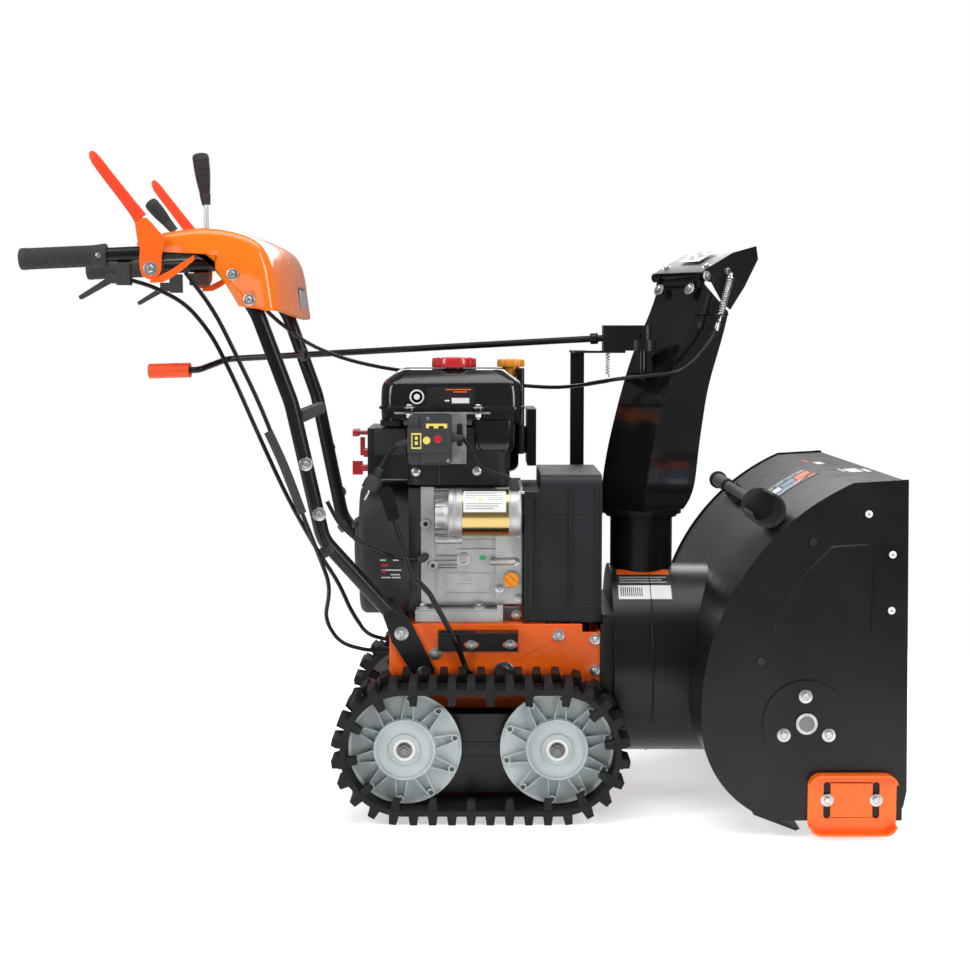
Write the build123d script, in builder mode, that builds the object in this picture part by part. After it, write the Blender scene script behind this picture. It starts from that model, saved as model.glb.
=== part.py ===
"""Two-stage snowblower on rubber tracks, modelled as separate pieces in millimetres.

+X is the direction of travel, towards the auger; +Y is the operator's left; +Z is up.
The origin is on the ground, below the centre of the machine's bounding box.
"""
from build123d import *
import math
import os

os.makedirs("parts", exist_ok=True)

# ---- driving dimensions -------------------------------------------------------------------
RUN_FIT = 0.05            # radial clearance of a shaft in its bore
SHEET = 3.0               # pressed steel sheet

# auger housing (bucket)
HALF_WIDTH = 352.0        # inside half width between the side plates
AUGER_X, AUGER_Z = 557.0, 189.0
BARREL_R = 165.0          # lower skin, concentric with the auger
BACK_X, BACK_Z, BACK_R = 792.6, 207.9, 401.0   # upper back skin
SIDE_T = 4.0
TOP_BREAK_X = 627.0       # where the rounded back meets the flat top
FRONT_X, FRONT_TOP_Z = 714.0, 578.6
AUGER_R = 150.0
RIBBON = 38.0             # radial width of the auger ribbon
AUGER_SHAFT_R = 12.5

# impeller drum and discharge collar
DRUM_X, DRUM_Z, DRUM_R = 263.0, 232.0, 168.0
IMPELLER_R = 158.0
IMPELLER_SHAFT_R = 10.0
CHUTE_X = 322.0           # vertical axis of the chute
COLLAR_R, COLLAR_TOP = 55.5, 493.0
CHUTE_HEADING = 40.0      # degrees to the left of straight ahead, as stored
CHUTE_W = 112.0

# tracks and wheels
WHEEL_X = (-93.5, 161.5)
AXLE_Z = 121.0
BELT_IN, BELT_OUT, LUG = 97.0, 106.0, 15.0
TRACK_Y = (155.0, 285.0)
LUG_COUNT = 36
WHEEL_R = 95.0
WHEEL_Y = (215.0, 262.0)
AXLE_R = 12.5

# tractor frame
FRAME_Y = 143.0
FRAME_REAR, FRAME_FRONT, FRAME_TOP = -124.0, 240.0, 314.0
HEX_X, HEX_Z = 74.0, 230.0

# engine
CRANK_Z, CRANK_R = 430.0, 12.7

# handles
TUBE_R, TUBE_BORE = 12.5, 10.5
HANDLE_Y = 236.0
GRIP_R, GRIP_END = 18.0, -721.0


# ---- small building operations ------------------------------------------------------------
def side_plane(y):
    """Plane facing the right side: sketch x is +X, sketch y is +Z, extrusion goes towards -Y."""
    return Plane(origin=(0, y, 0), x_dir=(1, 0, 0), z_dir=(0, -1, 0))


def front_plane(x):
    """Plane facing forward: sketch x is +Y, sketch y is +Z, extrusion goes towards +X."""
    return Plane(origin=(x, 0, 0), x_dir=(0, 1, 0), z_dir=(1, 0, 0))


def chute_plane():
    """Side plane of the chute: sketch x is the throwing direction, sketch y is +Z."""
    a = math.radians(CHUTE_HEADING)
    return Plane(origin=(CHUTE_X, 0, 0), x_dir=(math.cos(a), math.sin(a), 0), z_dir=(math.sin(a), -math.cos(a), 0))


def slab(plane, points, amount, mode=Mode.ADD, both=False, rounding=0, taper=0):
    """Extrude a closed polygon, with its corners rounded if asked."""
    with BuildSketch(plane) as outline:
        with BuildLine():
            Polyline(*points, close=True)
        make_face()
        if rounding:
            fillet(outline.vertices(), rounding)
    extrude(outline.sketch, amount=amount, both=both, taper=taper, mode=mode)


def disc(plane, centre, radius, amount, mode=Mode.ADD, both=False):
    """Extrude a circle."""
    with BuildSketch(plane) as outline:
        with Locations(centre):
            Circle(radius)
    extrude(outline.sketch, amount=amount, both=both, mode=mode)


def block(x, y, z, mode=Mode.ADD):
    """A box given by its lowest and highest coordinate along each axis."""
    with Locations(((x[0] + x[1]) / 2, (y[0] + y[1]) / 2, (z[0] + z[1]) / 2)):
        Box(x[1] - x[0], y[1] - y[0], z[1] - z[0], mode=mode)


def tube(points, radii, radius, bore=0):
    """Sweep a round bar or tube along straight runs joined by arcs."""
    with BuildLine() as route:
        if len(points) == 2:
            Line(*points)
        else:
            FilletPolyline(*points, radius=radii)
    start = Plane(origin=route.line @ 0, z_dir=route.line % 0)
    with BuildSketch(start) as section:
        Circle(radius)
        if bore:
            Circle(bore, mode=Mode.SUBTRACT)
    sweep(section.sketch, path=route.line)


def bend_radii(points):
    """The largest arc that the two runs at each corner allow, 0.45 of the shorter run each side."""
    spots = [Vector(*p) for p in points]
    radii = []
    for before, here, after in zip(spots, spots[1:], spots[2:]):
        first, second = here - before, after - here
        turn = math.radians(first.get_angle(second))
        radii.append(0.45 * min(first.length, second.length) / math.tan(turn / 2))
    return radii


def cable(name, points, radius):
    """A held or free cable on its route, with its bend radii printed."""
    radii = bend_radii(points)
    print(name, "bend radii", [round(r) for r in radii])
    tube(points, radii, radius)


def write(builder, name):
    """Label a finished piece and write it."""
    builder.part.label = name
    export_step(builder.part, f"parts/{name}.step")


def write_left(builder, name):
    """Write the left-hand twin of a right-hand piece."""
    with BuildPart() as twin:
        mirror(builder.part, about=Plane.XZ)
    write(twin, name)


# ---- auger housing -------------------------------------------------------------------------
def housing_face(inset, front_x, floor_z):
    """Side face of the housing, its curved skin moved inwards by inset, closed in front at front_x."""
    low_r, back_r = BARREL_R - inset, BACK_R - inset
    waist = (AUGER_X - low_r, AUGER_Z)
    lip_angle, belly_angle = math.radians(249), math.radians(214)
    lip = (AUGER_X + low_r * math.cos(lip_angle), AUGER_Z + low_r * math.sin(lip_angle))
    belly = (AUGER_X + low_r * math.cos(belly_angle), AUGER_Z + low_r * math.sin(belly_angle))
    shoulder = (TOP_BREAK_X, BACK_Z + math.sqrt(back_r ** 2 - (BACK_X - TOP_BREAK_X) ** 2))
    mid_angle = math.radians(147)
    mid = (BACK_X + back_r * math.cos(mid_angle), BACK_Z + back_r * math.sin(mid_angle))
    with BuildLine() as outline:
        ThreePointArc(lip, belly, waist)
        ThreePointArc(waist, mid, shoulder)
        Polyline(shoulder, (front_x, shoulder[1] + 5.0), (front_x, floor_z), (lip[0] + 8, floor_z), lip)
    make_face(outline.edges())


def make_auger_housing():
    with BuildPart() as auger_housing:
        with BuildSketch(side_plane(0)):
            housing_face(0, FRONT_X, 33)
        extrude(amount=HALF_WIDTH, both=True)
        disc(front_plane(DRUM_X), (0, DRUM_Z), DRUM_R, 190)
        disc(Plane.XY.offset(DRUM_Z), (CHUTE_X, 0), COLLAR_R, COLLAR_TOP - DRUM_Z)
        with BuildSketch(side_plane(0)):
            housing_face(SHEET, FRONT_X + 60, 10)
        extrude(amount=HALF_WIDTH + 1, both=True, mode=Mode.SUBTRACT)
        disc(front_plane(DRUM_X + SHEET), (0, DRUM_Z), DRUM_R - SHEET, 200, Mode.SUBTRACT)
        disc(Plane.XY.offset(DRUM_Z), (CHUTE_X, 0), COLLAR_R - SHEET, COLLAR_TOP - DRUM_Z, Mode.SUBTRACT)
        # collar flange that carries the chute ring
        disc(Plane.XY.offset(COLLAR_TOP - 5), (CHUTE_X, 0), COLLAR_R + 8, 5)
        disc(Plane.XY.offset(COLLAR_TOP - 5), (CHUTE_X, 0), COLLAR_R - SHEET, 5, Mode.SUBTRACT)
        # flanged mounting frame between the tractor and the drum
        block((FRAME_FRONT, DRUM_X + 1), (-148, 148), (191, FRAME_TOP))
        block((FRAME_FRONT + 3.3, DRUM_X + 1), (-148, 148), (FRAME_TOP, 331))
        block((FRAME_FRONT - 1, DRUM_X), (-144, 144), (187, 327), Mode.SUBTRACT)
        # hub of the impeller shaft in the drum's rear wall
        disc(front_plane(244), (0, DRUM_Z), 26, DRUM_X + SHEET - 244)
        disc(front_plane(240), (0, DRUM_Z), IMPELLER_SHAFT_R + RUN_FIT, 40, Mode.SUBTRACT)
    write(auger_housing, "auger_housing")


def make_side_plates():
    """Pressed side plates with raised panels; the right one is drawn and mirrored."""
    with BuildPart() as side_plate:
        with BuildSketch(side_plane(-HALF_WIDTH)):
            housing_face(-SHEET, FRONT_X, 29)
            with BuildLine():
                Polyline((700, 581), (FRONT_X, 581.5), (721, 78), (716, 52), (702, 34), (690, 29), close=True)
            make_face()
        extrude(amount=SIDE_T)
        outer = side_plane(-HALF_WIDTH - SIDE_T)
        sail = [(594, 476), (661, 480), (659, 327), (509, 325), (502, 350), (550, 432)]
        slab(outer, sail, 3, rounding=11, taper=40)
        slab(outer, [(602, 466), (650, 469), (649, 338), (521, 337), (515, 350), (560, 427)], -6,
             Mode.SUBTRACT, rounding=8)
        slab(side_plane(-HALF_WIDTH - SIDE_T + 1), [(600, 468), (652, 471), (651, 336), (519, 335), (513, 350),
             (558, 429)], SIDE_T - 2, rounding=8)
        disc(outer, (AUGER_X, AUGER_Z), 70, 3)
        disc(side_plane(-HALF_WIDTH + 1), (AUGER_X, AUGER_Z), AUGER_SHAFT_R + 5, 12, Mode.SUBTRACT)
    write(side_plate, "side_plate_right")
    write_left(side_plate, "side_plate_left")


def make_scraper_bar():
    slope = math.radians(-21)
    lip = (AUGER_X + BARREL_R * math.cos(math.radians(249)), 0, AUGER_Z + BARREL_R * math.sin(math.radians(249)))
    along = Plane(origin=lip, x_dir=(math.cos(slope), 0, math.sin(slope)), z_dir=(0, -1, 0))
    with BuildPart() as scraper_bar:
        slab(along, [(-22, -6.2), (52, -6.2), (57, -0.4), (-22, -0.4)], HALF_WIDTH - 1, both=True)
    write(scraper_bar, "scraper_bar")


def make_skid_shoes():
    """Adjustable shoes with slots and out-turned flanges."""
    with BuildPart() as skid:
        with BuildSketch(side_plane(-356)):
            with Locations((632.5, 58)):
                RectangleRounded(143, 100, 20)
        extrude(amount=20)
        with BuildSketch(side_plane(-360)):
            with Locations((632.5, 58)):
                RectangleRounded(135, 92, 16)
        extrude(amount=20, mode=Mode.SUBTRACT)
        block((560, 705), (-380, -360), (24, 92), Mode.SUBTRACT)
        with BuildSketch(side_plane(-355)):
            with Locations((592, 63.5), (671, 63.5)):
                SlotOverall(60, 11, rotation=90)
        extrude(amount=10, mode=Mode.SUBTRACT)
        mirror(about=Plane.XZ)
    write(skid, "skid_shoes")


def make_clean_out_tool():
    """Stick for clearing a blocked chute, held across the top of the housing."""
    tool_x, tool_z = 501.0, 527.0
    with BuildPart() as tool:
        # the scoop: a half round trough that lies hollow side up
        disc(side_plane(-200), (tool_x, tool_z), 29, 100)
        disc(side_plane(-206), (tool_x, tool_z), 25.5, 100, Mode.SUBTRACT)
        slab(side_plane(-206), [(tool_x - 45, tool_z - 23), (tool_x + 18, tool_z + 38), (tool_x - 10, tool_z + 68),
             (tool_x - 75, tool_z + 8)], 100, Mode.SUBTRACT)
        disc(side_plane(160), (tool_x, tool_z), 9, 366)
        disc(side_plane(305), (tool_x, tool_z), 13, 145)
        disc(side_plane(302), (tool_x, tool_z), 17, 10)
        # the two clips that stand on the housing
        reach = math.hypot(BACK_X - tool_x, tool_z - BACK_Z)
        outward = Vector(tool_x - BACK_X, 0, tool_z - BACK_Z) / reach
        for y in (-120, 140):
            foot = Plane(origin=Vector(BACK_X, y, BACK_Z) + outward * (BACK_R + 0.5), z_dir=outward,
                         x_dir=(0, 1, 0))
            with BuildSketch(foot):
                Rectangle(16, 30)
            extrude(amount=reach - BACK_R - 4)
    write(tool, "clean_out_tool")


# ---- auger, gearbox, impeller ---------------------------------------------------------------
def make_auger():
    with BuildPart() as shaft:
        disc(side_plane(0), (AUGER_X, AUGER_Z), AUGER_SHAFT_R, 362, both=True)
        for y in (-342, -190, 48, 190):
            disc(side_plane(y + 14), (AUGER_X, AUGER_Z), 19, 14)
        add(worm_wheel())
    write(shaft, "auger_shaft")
    with BuildPart() as flight:
        with BuildLine() as path:
            Helix(pitch=262, height=282, radius=AUGER_R - RIBBON / 2, center=(AUGER_X, -342, AUGER_Z),
                  direction=(0, 1, 0))
        start = path.line @ 0
        radial = (start - Vector(AUGER_X, -342, AUGER_Z)).normalized()
        with BuildSketch(Plane(origin=start, z_dir=path.line % 0, x_dir=radial)):
            Rectangle(RIBBON, 4)
        sweep(is_frenet=True)
        # radial arms from the hub collars to the ribbon
        for share in (0.04, 0.54):
            spot = path.line @ share
            hub = Vector(AUGER_X, spot.Y, AUGER_Z)
            out = (spot - hub).normalized()
            arm = Plane(origin=hub + out * 19.5, z_dir=out, x_dir=(0, 1, 0))
            with BuildSketch(arm):
                Rectangle(5, 34)
            extrude(amount=AUGER_R - RIBBON - 14)
        mirror(about=Plane.XZ)
    write(flight, "auger_flights")


def worm_wheel():
    """Bronze wheel on the auger shaft, its rim gashed for the worm."""
    with BuildPart() as wheel:
        disc(side_plane(0), (AUGER_X, AUGER_Z), 30, 9, both=True)
        for k in range(20):
            a = math.radians(18 * k)
            spot = (AUGER_X + 30 * math.cos(a), 0, AUGER_Z + 30 * math.sin(a))
            with Locations(Location(spot)):
                Cylinder(1.8, 40, rotation=(90, 0, 0), mode=Mode.SUBTRACT)
        disc(side_plane(0), (AUGER_X, AUGER_Z), AUGER_SHAFT_R, 20, Mode.SUBTRACT, both=True)
    return wheel.part


def make_auger_gearbox():
    with BuildPart() as gearbox:
        disc(side_plane(0), (AUGER_X, AUGER_Z), 42, 22, both=True)
        disc(side_plane(0), (AUGER_X, AUGER_Z), 24, 40, both=True)
        disc(front_plane(500), (0, DRUM_Z), 22, 102)
        disc(front_plane(455), (0, DRUM_Z), 17, 60)
        disc(side_plane(0), (AUGER_X, AUGER_Z), 35, 16, Mode.SUBTRACT, both=True)
        disc(front_plane(530), (0, DRUM_Z), 16, 60, Mode.SUBTRACT)
        disc(side_plane(0), (AUGER_X, AUGER_Z), AUGER_SHAFT_R + RUN_FIT, 60, Mode.SUBTRACT, both=True)
        disc(front_plane(450), (0, DRUM_Z), IMPELLER_SHAFT_R + RUN_FIT, 142, Mode.SUBTRACT)
    write(gearbox, "auger_gearbox")


def make_impeller():
    with BuildPart() as impeller:
        disc(front_plane(200), (0, DRUM_Z), IMPELLER_SHAFT_R, 390)
        disc(front_plane(543), (0, DRUM_Z), 12.5, 28)
        disc(front_plane(276), (0, DRUM_Z), 24, 100)
        for k in range(4):
            a = math.radians(90 * k + 25)
            blade = Plane(origin=(276, 0, DRUM_Z), x_dir=(0, math.cos(a), math.sin(a)), z_dir=(1, 0, 0))
            slab(blade, [(20, 0), (IMPELLER_R - 22, 0), (IMPELLER_R - 3, 20), (IMPELLER_R - 6, 24),
                 (IMPELLER_R - 24, 5), (20, 5)], 96)
        pulley_body(208, (0, DRUM_Z), 76)
    write(impeller, "impeller")


def pulley_body(x, centre, radius):
    """A grooved pulley 18 mm wide, its hub and flanges in one piece."""
    disc(front_plane(x), centre, radius, 18)
    disc(front_plane(x), centre, radius + 7, 3)
    disc(front_plane(x + 15), centre, radius + 7, 3)


# ---- chute ---------------------------------------------------------------------------------
CHUTE_BACK = [(-50, 500), (-46, 530), (-34, 594), (-14, 661), (14, 737), (42, 796), (67, 838), (97, 904)]
CHUTE_LIP = [(164, 853), (141, 788), (114, 720), (98, 653), (86, 585), (76, 535), (50, 500)]
HINGE = (96.0, 916.0)


def make_chute():
    with BuildPart() as chute:
        with BuildSketch(chute_plane()):
            with BuildLine():
                Spline(*CHUTE_BACK)
                Line(CHUTE_BACK[-1], CHUTE_LIP[0])
                Spline(*CHUTE_LIP)
                Line(CHUTE_LIP[-1], CHUTE_BACK[0])
            make_face()
        extrude(amount=CHUTE_W / 2, both=True)
        with BuildSketch(chute_plane()):
            with BuildLine():
                inner = [(x + SHEET, z) for x, z in CHUTE_BACK]
                Spline(*inner)
                Polyline(inner[-1], (260, 940), (260, 480), (inner[0][0], 480), inner[0])
            make_face()
        extrude(amount=CHUTE_W / 2 - SHEET, both=True, mode=Mode.SUBTRACT)
        # turntable ring on the collar
        ring = Plane.XY.offset(COLLAR_TOP + 0.5)
        disc(ring, (CHUTE_X, 0), COLLAR_R + 16, 8)
        disc(ring, (CHUTE_X, 0), COLLAR_R - SHEET - 3, 8, Mode.SUBTRACT)
        # bracket behind the back wall that carries the turning pin
        slab(chute_plane(), [(-12, 738), (24, 738), (40, 768), (36, 772), (16, 744), (-12, 744)], 14, both=True)
        disc(Plane.XY.offset(744), (CHUTE_X, 0), 7, 41.5)
        # hinge knuckle on the top edge of the back wall
        slab(chute_plane(), [(90, 900), (98, 900), (100, 908), (92, 908)], 40, both=True)
        disc(chute_plane(), HINGE, 4, CHUTE_W / 2 + 8, both=True)
        for side in (-1, 1):
            lug = chute_plane().offset(side * 50)
            slab(lug, [(88, 896), (104, 890), (103, 920), (90, 922)], 3, both=True)
    write(chute, "chute")


def make_deflector():
    plane = chute_plane()
    wall = CHUTE_W / 2 + 1
    side = [(88, 920), (104, 929), (170, 958), (234, 972), (239, 950), (203, 899), (165, 857), (140, 875),
            (116, 905), (96, 908)]
    top = [(88, 922), (104, 931), (170, 960), (234, 974), (235, 971), (171, 957), (105, 928), (90, 919)]
    with BuildPart() as deflector:
        for y in (-wall - SHEET, wall):
            slab(plane.offset(y), side, SHEET)
        slab(plane, top, wall + SHEET, both=True)
        disc(plane, HINGE, 4 + RUN_FIT, 80, Mode.SUBTRACT, both=True)
        # room for the hinge lugs of the chute
        slab(plane, [(80, 890), (110, 890), (110, 921), (80, 924)], wall - 1, Mode.SUBTRACT, both=True)
        # anchor of the control rod, on the near wall
        disc(plane.offset(wall + SHEET), (150, 925), 5, 10)
    write(deflector, "chute_deflector")


def make_chute_support():
    """Post beside the belt cover, its top plate and the crank's gear case."""
    with BuildPart() as post:
        block((202, 227), (152, 155), (200, 783))
        block((202, 205), (152, 177), (320, 783))
        block((200, 228), (20, 177), (779, 783))
        block((200, 290), (-24, 24), (779, 783))
        # gear case of the crank, bored for the rod and for the chute's turning pin
        block((251, 322), (-22, 22), (783, 828))
        disc(Plane.XY.offset(783), (CHUTE_X, 0), 28, 19)
        disc(Plane.XY.offset(783), (CHUTE_X, 0), 20, 45)
        disc(Plane.XY.offset(770), (CHUTE_X, 0), 7 + RUN_FIT, 16, Mode.SUBTRACT)
        crank = Plane(origin=CRANK_FRONT, z_dir=CRANK_DIR)
        disc(crank, (0, 0), 6 + RUN_FIT, 60, Mode.SUBTRACT, both=True)
    write(post, "chute_crank_support")


CRANK_REAR = Vector(-451.6, 215, 765.5)
CRANK_FRONT = Vector(262, 0, 806)
CRANK_DIR = (CRANK_FRONT - CRANK_REAR).normalized()


def make_chute_crank():
    """Rod from the operator to the gear case, with its cranked end."""
    elbow = Vector(-496, 152, 746)
    end = Vector(-585, 163, 743.5)
    with BuildPart() as crank:
        tube([CRANK_FRONT, CRANK_REAR, elbow, end], [18, 14], 6)
        collar = Plane(origin=CRANK_FRONT - CRANK_DIR * 33, z_dir=CRANK_DIR)
        disc(collar, (0, 0), 10, 12)
        along = (end - elbow).normalized()
        handle = Plane(origin=elbow + along * 17, z_dir=along)
        disc(handle, (0, 0), 14, 78)
    write(crank, "chute_crank")


# ---- tractor frame and drive ----------------------------------------------------------------
def make_tractor_frame():
    side = [(FRAME_REAR, FRAME_TOP), (FRAME_REAR, 240), (-118, 102), (-70, 100), (-22, 150), (94, 150),
            (138, 100), (186, 102), (202, 150), (FRAME_FRONT, 150), (FRAME_FRONT, 300), (209, 300),
            (209, FRAME_TOP)]
    with BuildPart() as frame:
        for y in (-FRAME_Y + SHEET, FRAME_Y):
            slab(side_plane(y), side, SHEET)
        inside = (-FRAME_Y + SHEET, FRAME_Y - SHEET)
        block((FRAME_REAR, FRAME_REAR + SHEET), inside, (240, FRAME_TOP))
        block((FRAME_REAR, 106), inside, (FRAME_TOP - SHEET, FRAME_TOP))
        block((FRAME_FRONT - SHEET, FRAME_FRONT), inside, (150, 300))
        block((162, 168), inside, (150, 300))
        disc(front_plane(160), (0, 228), 10 + RUN_FIT, 10, Mode.SUBTRACT)
        disc(front_plane(230), (0, DRUM_Z), 30, 14, Mode.SUBTRACT)
        for x in WHEEL_X:
            disc(side_plane(0), (x, AXLE_Z), 16, 150, Mode.SUBTRACT, both=True)
        disc(side_plane(0), (HEX_X, HEX_Z), 14, 150, Mode.SUBTRACT, both=True)
    write(frame, "tractor_frame")


def make_bearings():
    """Flanged bushes of the axles, the hex shaft and the auger shaft."""
    with BuildPart() as bearings:
        for side in (-1, 1):
            for x, z, bore, seat, flange in ((WHEEL_X[0], AXLE_Z, AXLE_R, 16, 22), (WHEEL_X[1], AXLE_Z, AXLE_R, 16, 22),
                                             (HEX_X, HEX_Z, 10, 14, 19)):
                inner, outer = side * (FRAME_Y - SHEET), side * (FRAME_Y + 4)
                face = side * FRAME_Y
                disc(side_plane(max(inner, outer)), (x, z), seat, abs(outer - inner))
                disc(side_plane(max(face, outer)), (x, z), flange, abs(outer - face))
                disc(side_plane(max(inner, outer) + 1), (x, z), bore + RUN_FIT, 12, Mode.SUBTRACT)
            inner, outer = side * HALF_WIDTH, side * (HALF_WIDTH + 11)
            disc(side_plane(max(inner, outer)), (AUGER_X, AUGER_Z), AUGER_SHAFT_R + 5, 11)
            disc(side_plane(max(inner, outer) + 1), (AUGER_X, AUGER_Z), AUGER_SHAFT_R + RUN_FIT, 14, Mode.SUBTRACT)
    write(bearings, "shaft_bearings")


def make_drive():
    with BuildPart() as hex_shaft:
        disc(side_plane(0), (HEX_X, HEX_Z), 10, 152, both=True)
        with BuildSketch(side_plane(0)):
            with Locations((HEX_X, HEX_Z)):
                RegularPolygon(9.5, 6, major_radius=False)
        extrude(amount=136, both=True)
        disc(side_plane(136), (HEX_X, HEX_Z), 13, 4)
        disc(side_plane(-132), (HEX_X, HEX_Z), 13, 4)
    write(hex_shaft, "hex_shaft")
    with BuildPart() as friction_wheel:
        disc(side_plane(36), (HEX_X, HEX_Z), 74.3, 12)
        disc(side_plane(46), (HEX_X, HEX_Z), 26, 32)
        disc(side_plane(60), (HEX_X, HEX_Z), 13.5, 80, Mode.SUBTRACT)
    write(friction_wheel, "friction_wheel")
    with BuildPart() as drive_plate:
        disc(front_plane(149), (0, 228), 72, 8)
        disc(front_plane(157), (0, 228), 10, 40)
        disc(front_plane(180), (0, 228), 62, 16)
        disc(front_plane(180), (0, 228), 68, 3)
        disc(front_plane(193), (0, 228), 68, 3)
    write(drive_plate, "drive_plate")
    with BuildPart() as belts:
        for x, low, low_r, high_r in ((213, DRUM_Z, 76, 32), (184.5, 228, 62, 26)):
            for grow, mode in ((8.3, Mode.ADD), (0.4, Mode.SUBTRACT)):
                with BuildSketch(front_plane(x)):
                    with Locations((0, low)):
                        Circle(low_r + grow)
                    with Locations((0, CRANK_Z)):
                        Circle(high_r + grow)
                    make_hull()
                extrude(amount=8, mode=mode)
    write(belts, "drive_belts")


def wheel_profile(x):
    """Ribbed plastic wheel with its stub axle, right-hand side."""
    outer, inner = WHEEL_Y[1], WHEEL_Y[0]
    disc(side_plane(-inner), (x, AXLE_Z), 84, outer - inner - 8)
    disc(side_plane(-inner), (x, AXLE_Z), 52, outer - inner)
    for k in range(10):
        a = math.radians(36 * k)
        spoke = Plane(origin=(x, -inner, AXLE_Z), x_dir=(math.cos(a), 0, math.sin(a)), z_dir=(0, -1, 0))
        slab(spoke, [(40, -12), (93.5, -12), (93.5, 12), (40, 12)], outer - inner)
    disc(side_plane(-120), (x, AXLE_Z), AXLE_R, 152)
    disc(side_plane(-TRACK_Y[0] - 2), (x, AXLE_Z), 20, inner - TRACK_Y[0] - 2)


def make_wheels():
    for x, place in zip(WHEEL_X, ("rear", "front")):
        with BuildPart() as wheel:
            wheel_profile(x)
        write(wheel, f"wheel_{place}_right")
        write_left(wheel, f"wheel_{place}_left")


def track_stations(count, shift):
    """Evenly spaced places round the track: point on the belt's outer face and outward angle."""
    gap = WHEEL_X[1] - WHEEL_X[0]
    mid_r = (BELT_IN + BELT_OUT) / 2
    half_turn = math.pi * mid_r
    total = 2 * gap + 2 * half_turn
    for k in range(count):
        s = (k + shift) * total / count % total
        if s < gap:
            yield WHEEL_X[0] + s, AXLE_Z, 90.0
        elif s < gap + half_turn:
            yield WHEEL_X[1], AXLE_Z, 90 - math.degrees((s - gap) / mid_r)
        elif s < 2 * gap + half_turn:
            yield WHEEL_X[1] - (s - gap - half_turn), AXLE_Z, -90.0
        else:
            yield WHEEL_X[0], AXLE_Z, -90 - math.degrees((s - 2 * gap - half_turn) / mid_r)


def track_lug(x, z, angle, inner_r, outer_r, width, y_high, depth):
    a = math.radians(angle)
    out = Plane(origin=(x, y_high, z), x_dir=(math.cos(a), 0, math.sin(a)), z_dir=(0, -1, 0))
    slab(out, [(inner_r, -width / 2), (outer_r, -width * 0.36), (outer_r, width * 0.36), (inner_r, width / 2)], depth)


def make_tracks():
    """Rubber belts with staggered outer lugs and two rows of inner guide teeth."""
    with BuildPart() as track:
        for radius, mode in ((BELT_OUT, Mode.ADD), (BELT_IN, Mode.SUBTRACT)):
            with BuildSketch(side_plane(-TRACK_Y[0])):
                with Locations((sum(WHEEL_X) / 2, AXLE_Z)):
                    SlotCenterToCenter(WHEEL_X[1] - WHEEL_X[0], 2 * radius)
            extrude(amount=TRACK_Y[1] - TRACK_Y[0], mode=mode)
        width = TRACK_Y[1] - TRACK_Y[0]
        for row, shift in ((0, 0.0), (1, 0.5)):
            for x, z, angle in track_stations(LUG_COUNT, shift):
                track_lug(x, z, angle, BELT_OUT - 2, BELT_OUT + LUG, 17, -TRACK_Y[0] - row * width / 2, width / 2)
        for x, z, angle in track_stations(LUG_COUNT // 2, 0.25):
            for y_high in (-TRACK_Y[0] - 15, -267):
                track_lug(x, z, angle, BELT_IN + 2, BELT_IN - 18, 16, y_high, 17)
    write(track, "track_right")
    write_left(track, "track_left")


# ---- engine ----------------------------------------------------------------------------------
def make_engine():
    with BuildPart() as engine_block:
        block((-70, 106), (-108, 90), (337, 549))
        fillet(engine_block.edges().filter_by(Axis.X), 14)
        head = Plane(origin=(18, 90, 452), x_dir=(1, 0, 0), z_dir=(0, math.cos(0.4), math.sin(0.4)))
        with BuildSketch(head):
            RectangleRounded(112, 96, 10)
        extrude(amount=44)
        for k in range(4):
            with BuildSketch(head.offset(48 + 11 * k)):
                RectangleRounded(136, 118, 12)
            extrude(amount=6)
            with BuildSketch(head.offset(42 + 11 * k)):
                RectangleRounded(104, 88, 10)
            extrude(amount=12)
        disc(front_plane(-90), (0, CRANK_Z), 40, 24)
        disc(front_plane(-100), (0, CRANK_Z), CRANK_R + RUN_FIT, 220, Mode.SUBTRACT)
        # base rails bolted to the tractor's top
        for y in ((-130, -90), (60, 100)):
            block((-79, 71), y, (FRAME_TOP, 337.5))
            block((-80, 72), (y[0] + 4, y[1] - 4), (FRAME_TOP + 4, 333), Mode.SUBTRACT)
    write(engine_block, "engine_block")
    with BuildPart() as crankshaft:
        disc(front_plane(-166), (0, CRANK_Z), CRANK_R, 396)
        disc(front_plane(-150), (0, CRANK_Z), 92, 40)
        disc(front_plane(-152), (0, CRANK_Z), 40, 8)
        pulley_body(208, (0, CRANK_Z), 32)
        pulley_body(179.5, (0, CRANK_Z), 26)
    write(crankshaft, "crankshaft")
    with BuildPart() as blower:
        with BuildSketch(front_plane(-178)):
            with Locations((0, 434)):
                RectangleRounded(246, 228, 70)
        extrude(amount=88)
        fillet(blower.faces().sort_by(Axis.X)[0].edges(), 12)
        with BuildSketch(front_plane(-172)):
            with Locations((0, 434)):
                RectangleRounded(238, 220, 66)
        extrude(amount=84, mode=Mode.SUBTRACT)
        disc(front_plane(-180), (0, CRANK_Z), 26, 20, Mode.SUBTRACT)
    write(blower, "blower_housing")


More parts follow.
